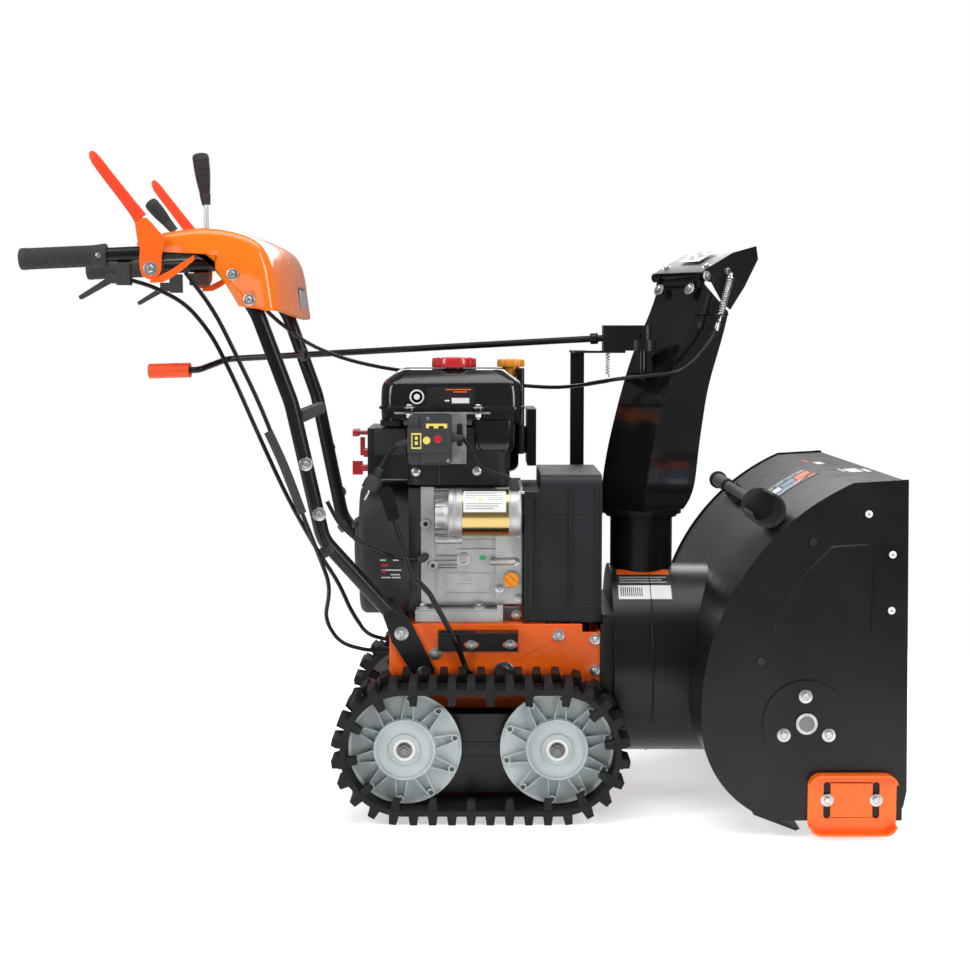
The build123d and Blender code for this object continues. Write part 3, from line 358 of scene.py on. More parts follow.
def spline(name, points, radius, look, body):
    """A smooth round cord, bar or bead along control points; its radius is in mm."""
    data = bpy.data.curves.new(name, "CURVE")
    data.dimensions = "3D"
    data.bevel_depth = radius * MM
    data.bevel_resolution = 5
    data.resolution_u = 10
    data.use_fill_caps = True
    line = data.splines.new("NURBS")
    line.points.add(len(points) - 1)
    for point, spot in zip(line.points, points):
        point.co = (*spot, 1)
    line.order_u = 3
    line.use_endpoint_u = True
    data.materials.append(LOOK[look])
    obj = bpy.data.objects.new(name, data)
    bpy.context.scene.collection.objects.link(obj)
    if body:
        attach(obj, body)
    return obj


def mm(*values):
    return Vector(values) * MM


LOOK = make_materials()
set_stage()


def add(name, bm, looks, body="chassis", bevel=0.0, angle=32, replaces=()):
    """A piece in named finishes."""
    obj = piece(name, bm, [LOOK[look] for look in looks], body, bevel, angle, replaces)
    return obj


def bar(name, points, radius, look):
    """A round bar or cable fixed to the chassis."""
    spline(name, points, radius, look, "chassis")


def stretched(name, points, radius, look):
    """A round bar or cable along control points, turned into a fixed mesh."""
    route = spline(name + "_route", points, radius, look, None)
    obj = bpy.data.objects.new(name, bpy.data.meshes.new_from_object(route))
    bpy.data.objects.remove(route)
    bpy.context.scene.collection.objects.link(obj)
    obj.data.shade_smooth()
    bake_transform(obj)


def coil(base, rise, across, up, radius, turns):
    """Points of a coil that climbs from base by rise; across and up span its circle."""
    points, count = [], turns * 12
    for k in range(count + 1):
        a = math.pi * k / 6
        points.append(base + rise * (k / count) + (across * math.cos(a) + up * math.sin(a)) * (radius * MM))
    return points


def dress_all(look, bevels):
    """The same finish on several nodes; bevels gives each node's edge radius in mm."""
    for node, bevel in bevels.items():
        dress(node, look, bevel)


# ---- mains plug on its short cord --------------------------------------------------------------
def make_plug():
    route = [mm(-91, -148, 628), mm(-108, -148, 624), mm(-124, -150, 610), mm(-132.5, -152, 594), mm(-137, -152, 585)]
    cord = spline("starter_inlet_cord", route, 3.5, "cable_jacket", "chassis")
    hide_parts("plug_cord")
    axis = Vector((-9, 0, -18)).normalized()
    bm = bmesh.new()
    ribs = [(0, 4.2), (1, 5.8)]
    for k in range(4):
        along, swell = k * 3.4, k * 0.3
        ribs += [(2 + along, 6.8 + swell), (3.8 + along, 6.8 + swell), (4.1 + along, 5.2 + swell),
                 (5.2 + along, 5.2 + swell)]
    lathe(bm, ribs + [(16.5, 8), (19, 12.5), (24, 14.5), (33, 15.5), (41.5, 15.8), (42, 15.2), (39.5, 14), (39.2, 0)],
          route[-1], axis, 44)
    side, up, _ = frame_of(axis)
    for turn in range(16):
        a = 2 * math.pi * turn / 16
        out = side * math.cos(a) + up * math.sin(a)
        prism(bm, rounded(1.6, 13, 0.6, 2), route[-1] + axis * 0.0335 + out * 0.0140, axis.cross(out), axis, 1.6)
    for y in (-0.0095, 0.0095):
        lathe(bm, [(38.5, 2.4), (58.5, 2.4), (60.8, 1.6), (61, 0)],
              route[-1] + Vector((0, y, 0)), axis, 20, 1)
    plug = add("starter_inlet_plug", bm, ["black_plastic", "machined"], bevel=0.3, replaces=["plug"])
    relief = bmesh.new()
    start = (route[1] - route[0]).normalized()
    lathe(relief, [(-2, 6.8), (3, 6.6), (20, 4.1), (20.5, 3.4)], route[0], start, 28)
    collar = add("starter_inlet_relief", relief, ["black_plastic"])


# ---- running gear ------------------------------------------------------------------------------
AXLE_HEIGHT = 121
AXLES = {"rear": -93.5, "front": 161.5}
WHEEL_RIBS = 10


def make_wheel(node, x, side):
    """Moulded grey wheel: disc, paired ribs that end in rim bosses, hub ring, washer and axle nut."""
    axis, centre = Vector((0, side, 0)), mm(x, 0, AXLE_HEIGHT)
    across, up, _ = frame_of(axis)

    def spoke(angle, radius):
        return (across * math.cos(angle) + up * math.sin(angle)) * (radius * MM)

    bm = bmesh.new()
    lathe(bm, [(215, 20), (215, 51), (238.5, 52.5), (236.5, 91.5), (235.5, 94.5), (240.5, 95.5), (244.5, 95), (244, 92),
               (242.5, 90), (246.5, 54), (258.5, 52), (260, 50.8), (260, 48.8), (258.8, 47.8), (255, 47), (255, 22.5),
               (256, 21.5), (256, 0)], centre, axis, 96)
    for k in range(WHEEL_RIBS):
        mid = 2 * math.pi * (k + 0.35) / WHEEL_RIBS
        tip, beside = spoke(mid, 86.2), spoke(mid + math.pi / 2, 5.8)
        for lean in (-1, 1):
            foot = spoke(mid + lean * 0.205, 50.5)
            run = tip + beside * lean - foot
            thick = run.cross(axis).normalized() * 0.0011
            section = []
            for share, low, high in ((0, 0.219, 0.2580), (0.5, 0.2235, 0.2560), (1.0, 0.2285, 0.2530)):
                spot = centre + foot + run * share
                section.append([spot + thick + axis * low, spot - thick + axis * low,
                                spot - thick * 0.8 + axis * high, spot + thick * 0.8 + axis * high])
            loft(bm, section)
        lathe(bm, [(228.5, 6.6), (252.5, 6.6), (253.3, 6), (253.3, 4.4), (244, 4), (244, 0)], centre + tip, axis, 24)
    for profile, segments, mat, start in (
            ([(255.5, 27), (257.5, 26.2), (258.2, 25), (258.2, 10)], 48, 0, 0),
            ([(257, 18.5), (259.2, 18.5), (260, 17.6), (260, 6)], 40, 1, 0),
            ([(259.8, 13.5), (261, 13.5), (261.2, 12.8), (261.2, 5)], 32, 2, 0),
            ([(261, 11.2), (267.5, 11.2), (268.8, 9.6), (268.8, 4)], 6, 2, 0.4),
            ([(120.5, 11.8), (120.5, 12.2), (214, 12.2), (215, 11), (258, 7), (270.5, 7), (271.8, 6), (271.8, 0)], 32,
             2, 0)):
        lathe(bm, profile, centre, axis, segments, mat, start=start)
    add(node + "_look", bm, ["wheel_grey", "sticker_white", "dark_steel"], node, 0.5, 30, [node])


def make_running_gear():
    for side, word in ((-1, "right"), (1, "left")):
        for place, x in AXLES.items():
            make_wheel(f"wheel_{place}_{word}", x, side)
        dress(f"track_{word}", "tread", 1.4, 30)
        # pressed carrier between the axles, inside the wheels
        bm = bmesh.new()
        outline = [(-118, 104), (-80, 33), (148, 33), (186, 104), (186, 140), (170, 152), (110, 172), (-42, 172),
                   (-102, 152), (-118, 140)]
        prism(bm, outline, mm(0, side * 162.5 + 3, 0), X_AXIS, Z_AXIS, 6)
        for x0, x1, near, far, z0, z1 in ((-35, 100, 165.5, 211, 118, 124), (-34, 102, 206, 210, 98, 172),
                                          (-34, 102, 200, 204, 34, 98)):
            y0, y1 = sorted((side * near, side * far))
            slab(bm, (x0, y0, z0), (x1, y1, z1))
        add(f"track_carrier_{word}", bm, ["black_coat"], bevel=1.2)


def make_bolts():
    """Zinc hex bolts with washers wherever the frame, housing and shoes are joined."""
    bm = bmesh.new()
    spots = [(-103, 298, 148, 7), (-64.5, 229, 148, 7), (168, 294, 143, 6), (231, 287, 143, 5.5), (231, 233, 143, 5.5),
             (-45, 262, 143, 6), (555, 233, 359, 6.3), (521, 170, 359, 6.3), (593, 170, 359, 6.3),
             (592, 64, 360, 6), (671, 64, 360, 6)]
    for side in (-1, 1):
        for k, (x, z, y, size) in enumerate(spots):
            bolt(bm, mm(x, side * y, z), (0, side, 0), size, turn=k * 0.7)
        for x, z, y in ((-258, 596, 216), (-237, 511, 208)):
            lathe(bm, [(-3, 11.5), (1.2, 11.5), (1.6, 10.8)], mm(x, side * y, z), (0, side, 0), 36)
            bolt(bm, mm(x, side * (y + 1), z), (0, side, 0), 5.8, turn=0.2)
        for x, z in ((-371, 909), (-344, 868)):
            lathe(bm, [(-1.5, 9.8), (1.6, 9.8), (2.1, 8.8)], mm(x, side * 252, z), (0, side, 0), 32)
            bolt(bm, mm(x, side * 253.5, z), (0, side, 0), 5.2, turn=0.5)
        for x, z in ((651, 527), (690, 462), (690, 372)):
            lathe(bm, [(0, 6.2), (1.6, 5.8), (2.6, 3.5), (2.7, 0)], mm(x, side * 358.8, z),
                  (0, side, 0), 24, 1)
            lathe(bm, [(2.4, 2.2), (3, 1.8), (3, 0)], mm(x, side * 358.8, z), (0, side, 0), 16, 0)
    for x, z in ((17.5, 278), (84.6, 279)):
        bolt(bm, mm(x, -147, z), OUT, 5.2, turn=0.9)
    add("zinc_bolts", bm, ["zinc", "sticker_white"], bevel=0.3, replaces=["fasteners"])
    holes = bmesh.new()
    for side in (-1, 1):
        for x, z in ((564, 482), (483, 290)):
            lathe(holes, [(0, 6.2), (0.4, 5.8), (0.4, 0)], mm(x, side * 359, z), (0, side, 0), 24)
    add("side_plate_plugs", holes, ["sticker_black"])


# ---- handles -----------------------------------------------------------------------------------
def make_handles():
    for word in ("right", "left"):
        dress(f"handlebar_{word}", "black_coat", 0.8)
        dress(f"steering_trigger_{word}", "black_plastic", 1.2)
    dress("handle_brackets", "black_plastic", 1)
    bm = bmesh.new()
    for side in (-1, 1):
        profile = [(0, 15), (1.2, 17.2), (4.5, 18), (10, 18)]
        for k in range(25):
            x = 12 + k * 4.4
            profile += [(x, 17.8), (x + 0.6, 16.8), (x + 1.8, 16.8), (x + 2.4, 17.8)]
        profile += [(124, 18), (132, 18.5), (138, 19.4), (141.5, 19.4), (143, 18.2), (143, 12.6)]
        lathe(bm, profile, mm(-721, side * 236, 934.3), (1, 0, 0.0443), 48)
        lathe(bm, [(0, 4.2), (1.4, 4), (1.8, 3), (1.8, 0)], mm(-589, side * 254.4, 940),
              (0, side, 0), 20, 1)
    add("ribbed_grips", bm, ["grip_rubber", "zinc"], bevel=0.3, replaces=["handle_grips"])
    for name, side in (("auger_clutch_lever", -1), ("drive_clutch_lever", 1)):
        low, high = sorted((side * 255.8, side * 261.2))
        plate = bmesh.new()
        lower = [(-528, 999), (-508, 1000), (-497, 989), (-478, 966), (-484.5, 940), (-486, 916), (-490, 907),
                 (-498, 901), (-508, 901), (-516, 906), (-520, 916), (-521, 934), (-519.5, 950), (-524, 968)]
        prism(plate, lower, mm(0, high, 0), X_AXIS, Z_AXIS, high - low)
        hook = [(-504, 903), (-492, 905), (-470, 916), (-452, 928), (-432, 940), (-432, 932), (-450, 917), (-470, 903),
                (-484, 896), (-504, 895)]
        prism(plate, hook, mm(0, high - 4 * (side > 0), 0), X_AXIS, Z_AXIS, 3)
        bolt(plate, mm(-503, side * 261, 918), (0, side, 0), 6.6, mat=1)
        add(name + "_plate", plate, ["orange", "zinc"], name, 0.9, replaces=[name])
        dip = bmesh.new()
        spine = [((-518, 999), 11.4), ((-527, 1012), 10.2), ((-546, 1037), 9.4), ((-570, 1068), 9.0),
                 ((-588, 1092), 8.6),
                 ((-594, 1101), 6.6), ((-597, 1106), 3.4)]
        flat, rings = Vector((0.79, 0, 0.61)), []
        for (x, z), half in spine:
            wide = 4 * min(1, half / 8.6)
            rings.append([mm(x, side * 258.6, z) + flat * (a * 2 * half * MM) + mm(0, b * 2 * wide, 0)
                          for a, b in rounded(1, 1, 0.32, 5)])
        loft(dip, rings)
        add(name + "_dip", dip, ["lever_dip"], name, 0.4, 40)


def ribbed_knob(name, base, tip, radii, node, rod_from):
    """Ribbed ball-top grip on a zinc rod."""
    base, tip, rod_from = Vector(base), Vector(tip), Vector(rod_from)
    axis, length = (tip - base).normalized(), (tip - base).length
    foot, waist, belly = radii
    bm = bmesh.new()
    profile = [(0, 4), (0.4, foot * 0.94), (3, foot), (12, waist)]
    ribs = 15
    for k in range(ribs):
        share = k / (ribs - 1)
        along = 14 + share * (length - 30)
        radius = waist + (belly - waist) * math.sin(share * math.pi / 2)
        profile += [(along, radius), (along + 1.2, radius), (along + 1.6, radius - 0.9), (along + 2.6, radius - 0.9)]
    profile += [(length - 13, belly), (length - 6, belly * 0.97), (length - 2.2, belly * 0.82),
                (length - 0.4, belly * 0.5),
                (length, 0)]
    lathe(bm, profile, base * MM, axis, 40)
    rod = base - rod_from
    lathe(bm, [(-0.5, 0), (-0.5, 4), (rod.length + 6, 4), (rod.length + 6, 0)], rod_from * MM, rod.normalized(), 24, 1)
    lathe(bm, [(-4, 7.8), (0, 7.8), (4, 6.6), (4, 4)], (base - axis * 0.5) * MM, axis, 24)
    add(name, bm, ["grip_rubber", "zinc"], node, 0.3, 30, [node])


def smooth_line(points, steps=8):
    """Rounds a list of 2D control points with a centripetal spline through them."""
    line = []
    for k in range(len(points) - 1):
        p0, p1, p2, p3 = (Vector(points[max(0, min(len(points) - 1, k + d))]) for d in (-1, 0, 1, 2))
        for s in range(steps):
            t = s / steps
            line.append(0.5 * ((2 * p1) + (p2 - p0) * t + (2 * p0 - 5 * p1 + 4 * p2 - p3) * t * t
                               + (3 * p1 - p0 - 3 * p2 + p3) * t ** 3))
    return line + [Vector(points[-1])]


def make_dash():
    """Moulded dash: arched top, rolled shoulders, bowed front and a flat skirt on each side."""
    arch = smooth_line([(-530, 957), (-524, 967), (-499, 974), (-460, 981), (-419, 985), (-374, 983), (-330, 976),
                        (-296, 965),
                        (-273, 948), (-262, 920), (-257, 884), (-251, 838)], 6)
    half, roll = 252.0, 17.0
    normals = []
    for k in range(len(arch)):
        run = arch[min(k + 1, len(arch) - 1)] - arch[max(k - 1, 0)]
        normals.append(Vector((-run.y, run.x)).normalized())
    stations = [half * s for s in (0, .2, .4, .6, .74, .84)] + [half - roll + roll * math.sin(math.radians(a))
                                                               for a in (0, 18, 36, 52, 66, 78, 90)]
    stations = [-y for y in reversed(stations[1:])] + stations
    bm = bmesh.new()
    grid = []
    for y in stations:
        over = max(0.0, abs(y) - (half - roll))
        drop = roll - math.sqrt(max(0.0, roll ** 2 - over ** 2))
        row = []
        for k, (spot, normal) in enumerate(zip(arch, normals)):
            x, z = spot - normal * drop
            ahead = min(1.0, max(0.0, (x + 440) / 170))
            x -= ahead * (28 + 22 * (abs(y) / half) ** 2.4)
            z += 15 * (abs(y) / half) ** 2 * (k / len(arch)) ** 6
            row.append(bm.verts.new(mm(x, y, z)))
        grid.append(row)
    for low, high in zip(grid, grid[1:]):
        for k in range(len(arch) - 1):
            bm.faces.new([low[k], low[k + 1], high[k + 1], high[k]])
    skirt = [(-330, 853), (-361, 857), (-384, 896), (-399, 918), (-399, 940), (-432, 943), (-480, 945), (-508, 946)]
    for row, y in ((grid[0], -half), (grid[-1], half)):
        extra = [bm.verts.new(mm(x, y, z)) for x, z in skirt]
        bm.faces.new(row + extra)
    bmesh.ops.triangulate(bm, faces=[f for f in bm.faces if len(f.verts) > 4])
    bmesh.ops.recalc_face_normals(bm, faces=bm.faces)
    obj = add("dash_shell", bm, ["dash_orange"], replaces=["dash_panel"])
    obj.data.set_sharp_from_angle(angle=math.radians(50))
    wall = obj.modifiers.new("wall", "SOLIDIFY")
    wall.thickness = 0.003
    wall.offset = -1
    trim = bmesh.new()
    for x, y, z, slope in ((-447, -40, 983.4, 0.085), (-485, 60, 977.6, 0.16)):
        prism(trim, rounded(76, 22, 8), mm(x, y, z), (1, 0, slope), Y_AXIS, 1.6)
        prism(trim, rounded(64, 11, 5), mm(x, y, z + 1.4), (1, 0, slope), Y_AXIS, 0.9, 1)
    lean = Vector((-0.09, 0, 1)).normalized()
    prism(trim, rounded(104, 40, 12), mm(-285.6, 0, 874), Y_AXIS, lean, 2.2)
    prism(trim, rounded(94, 30, 9), mm(-284.4, 0, 874), Y_AXIS, lean, 2.2, 2)
    add("dash_trim", trim, ["black_plastic", "sticker_black", "lens"], bevel=0.6)


# ---- engine ------------------------------------------------------------------------------------
def ring_at(z, x0, x1, y0, y1, radius, steps=7):
    return [mm((x0 + x1) / 2 + x, (y0 + y1) / 2 + y, z) for x, y in rounded(x1 - x0, y1 - y0, radius, steps)]


def make_tank():
    """Blow-moulded tank: chamfered shoulders, a lip at the seam and lobes that hang on both sides of the bracket."""
    bm = bmesh.new()
    x0, x1, y0, y1 = -143, 111, -128, 118
    loft(bm, [ring_at(z, x0 + i, x1 - i, y0 + i, y1 - i, r) for z, i, r in
              ((660, 12, 20), (656, 7, 26), (662, 5, 28), (682.5, 4, 28), (683.5, 0.6, 30), (687.5, 0.6, 30),
               (688.5, 4, 28), (706, 4.2, 28), (722, 5.5, 28), (729, 8.5, 27), (733, 12, 26), (746, 29, 22),
               (750.5, 34.5, 20),
               (752, 40, 18))])
    loft(bm, [ring_at(z, 16 + i, 92 - i, y0 - 2 + i, -30, 16) for z, i in
              ((609, 14), (610, 7), (614, 3), (621, 1), (640, 0), (664, 0))])
    loft(bm, [ring_at(z, -140 + i, -97 - i, y0 - 1 + i, -30, 12) for z, i in ((654, 4), (656, 1), (664, 0))])
    loft(bm, [ring_at(z, 98 - i, 111 + i, -26 - i, 24 + i, 5) for z, i in ((600, 0), (752, 0))], 0)
    add("tank_shell", bm, ["black_gloss"], bevel=1, angle=24, replaces=["fuel_tank"])
    bracket = bmesh.new()
    slab(bracket, (-114, -138, 676), (50, -116, 679))
    slab(bracket, (-86, -131, 590), (9, -128, 678))
    slab(bracket, (4, -133, 592), (9, -128, 676))
    prism(bracket, rounded(10, 40, 4.9), mm(-2.5, -130.8, 640), X_AXIS, Z_AXIS, 0.8, 1)
    for x in (-88.7, 29.5):
        bolt(bracket, mm(x, -134, 686), Z_AXIS, 6.2)
        lathe(bracket, [(0, 10.5), (6.5, 10.5), (6.8, 10)], mm(x, -133, 679.2), Z_AXIS, 24, 2)
        lathe(bracket, [(0, 5.6), (6.2, 5.6)], mm(x, -134, 669.6), Z_AXIS, 6)
        lathe(bracket, [(0, 3), (4, 3)], mm(x, -134, 666.2), Z_AXIS, 16)
    add("tank_bracket", bracket, ["zinc", "sticker_black", "black_gloss"], bevel=0.5)
    decal = bmesh.new()
    slab(decal, (-59, -124.5, 690.5), (24, -123.7, 722))
    lathe(decal, [(0, 12.5), (0.6, 12.5), (0.6, 9.8), (0, 9.8)], mm(-76, -124.2, 705), OUT, 40, 1)
    lathe(decal, [(0, 0), (0, 5.2), (0.6, 5.2), (0.6, 0)], mm(-76, -124.2, 705), OUT, 32, 1)
    for low, width, height, look in (((-27, 716.5), 44, 1.8, 2), ((-14, 712.5), 24, 1.8, 2), ((-28, 697), 8, 2.6, 1),
                                     ((-16, 694), 30, 9, 1)):
        slab(decal, (low[0], -124.9, low[1]), (low[0] + width, -124.4, low[1] + height), look)
    add("tank_decal", decal, ["sticker_black", "sticker_white", "sticker_orange"])
    for node, x, y, r, top, look, lobes in (("fuel_cap", -13, -60, 40, 18, "red", 8),
                                            ("coolant_cap", 87, 0, 25, 14, "amber", 12)):
        cap = bmesh.new()
        lathe(cap, [(0, r * 0.95), (0.5, r * 0.985), (2, r), (top - 5, r * 0.985), (top - 2, r * 0.96),
                    (top - 0.6, r * 0.90),
                    (top - 0.6, r * 0.60), (top - 2.2, r * 0.57), (top - 2.2, r * 0.36), (top, r * 0.33), (top, 0)],
              mm(x, y, 754.5), Z_AXIS, 144, lobes=lobes, lobe_depth=0.055)
        lathe(cap, [(0, 15.5), (20, 15.5)], mm(x, y, 736), Z_AXIS, 32)
        add(node + "_look", cap, [look], node, 0.6, 26, [node])


def close_strip(bm, rows, mat):
    """Joins rows of four corners (low pair, high pair) into a closed strip."""
    for low, high in zip(rows, rows[1:]):
        for a, b in ((0, 1), (1, 3), (3, 2), (2, 0)):
            bm.faces.new([low[a], low[b], high[b], high[a]]).material_index = mat
    for row in (rows[0], rows[-1]):
        bm.faces.new([row[0], row[1], row[3], row[2]]).material_index = mat


def wrap_label(bm, centre, radius, along, angles, mat=0, thick=0.3, steps=14):
    """A label in mm bent over a cylinder along X; angles are from straight up towards the camera side."""
    rows = []
    for k in range(steps + 1):
        a = math.radians(angles[0] + (angles[1] - angles[0]) * k / steps)
        out = Vector((0, -math.sin(a), math.cos(a)))
        rows.append([bm.verts.new(centre + mm(s, 0, 0) + out * ((radius + t) * MM)) for t in (0, thick) for s in along])
    close_strip(bm, rows, mat)


def make_starter():
    centre = mm(0, -150, 507)
    bm = bmesh.new()
    lathe(bm, [(2, 40.5), (82, 40.5)], centre, X_AXIS, 72, 1)
    lathe(bm, [(81.5, 41.2), (84, 41.2), (84.5, 40), (98.5, 39.6), (102, 38), (103, 34),
               (103, 0)], centre, X_AXIS, 72, 0)
    lathe(bm, [(-22, 20), (-22, 39.5), (-20.5, 41.2), (-12, 41.2), (-11.5, 40), (-8.5, 40),
               (-8, 41.2), (1.5, 41.2), (2.5, 40.4)], centre, X_AXIS, 72, 0)
    lathe(bm, [(-45, 0), (-45, 17), (-44, 20.5), (-40, 22.5), (-30, 24), (-21, 29)],
          centre, X_AXIS, 48, 0)
    for k in range(9):
        a = math.radians(40 * k + 12)
        spot = centre + Vector((-0.034, -math.sin(a) * 0.0205, math.cos(a) * 0.0205))
        prism(bm, rounded(20, 3.8, 1, 2), spot, X_AXIS, Vector((0, math.cos(a), math.sin(a))), 4.5, 0)
    lathe(bm, [(-45, 6), (-44, 7.2), (0, 7.2), (2, 6), (2, 0)], mm(0, -150, 461),
          X_AXIS, 24, 0)
    lathe(bm, [(-4, 4.5), (106, 3), (109, 3), (109, 0)], mm(0, -128, 540), X_AXIS, 16, 2)
    add("starter_body", bm, ["cast", "gold_can", "zinc"], bevel=0.5, replaces=["starter_motor"])
    label = bmesh.new()
    wrap_label(label, centre, 40.5, (4.5, 76.5), (18, 82))
    for a, x0, x1 in ((25, 8, 72), (30, 8, 60), (36, 8, 70), (43, 46, 72), (49, 46, 70), (60, 8, 70), (66, 8, 64),
                      (72, 8, 56),
                      (44, 8, 26)):
        wrap_label(label, centre, 40.8, (x0, x1), (a, a + 2), 1, 0.2, 3)
    wrap_label(label, centre, 40.8, (30, 37), (44, 53), 2, 0.2, 4)
    add("starter_label", label, ["sticker_white", "sticker_grey", "sticker_yellow"])
    boot = bmesh.new()
    lathe(boot, [(-6, 4.8), (-4, 7), (6, 8.5), (14, 8.8), (16, 7.5)], mm(88, -151, 560),
          (0.35, 0, -1), 28)
    add("starter_boot", boot, ["black_plastic"], bevel=0.6)


def make_switch_box():
    dress("starter_switch_box", "black_plastic", 0.8)
    bm = bmesh.new()
    slab(bm, (-68, -166.5, 594), (-17, -162.5, 676))
    slab(bm, (-91, -167.5, 611), (-17, -162.5, 653))
    slab(bm, (-59, -167.0, 646), (-23, -166.2, 661), 1)
    slab(bm, (-84, -168.0, 618), (-67, -167.2, 645), 1)
    slab(bm, (-82, -168.2, 621), (-69, -167.6, 642), 0)
    for x, z, w, h in ((-78, 634, 5, 5), (-78, 625, 5, 6), (-54, 650, 8, 7), (-38, 650, 9, 7)):
        slab(bm, (x, -168.4 if x < -60 else -167.2, z), (x + w, -167.0, z + h), 1 if x < -60 else 2)
    lathe(bm, [(0, 6.5), (0.6, 6.2), (0.6, 0)], mm(-58, -167.5, 632.5), OUT, 28, 1)
    lathe(bm, [(0, 12), (1.2, 11.6), (1.4, 9.5)], mm(-39, -167.2, 635), OUT, 36, 0)
    for x, z in ((-56, 670), (-21.5, 598)):
        lathe(bm, [(0, 3.4), (1.2, 3), (1.3, 0)], mm(x, -166.2, z), OUT, 20, 3)
    add("switch_box_face", bm, ["black_plastic", "sticker_yellow", "sticker_black", "zinc"], bevel=0.6)
    knob = bmesh.new()
    lathe(knob, [(0, 8.8), (13, 8.8), (14.5, 8.2), (15.3, 6), (15.5, 0)], mm(-39, -153.5, 635),
          OUT, 36)
    add("start_button_look", knob, ["red"], "start_button", 0.4, replaces=["start_button"])
    relief = bmesh.new()
    lathe(relief, [(-1, 8.5), (3, 8.5), (4.5, 6.6), (18, 4.8), (19, 4.2)],
          mm(-15.5, -147, 636), X_AXIS, 28)
    add("switch_box_relief", relief, ["black_plastic"], bevel=0.3)


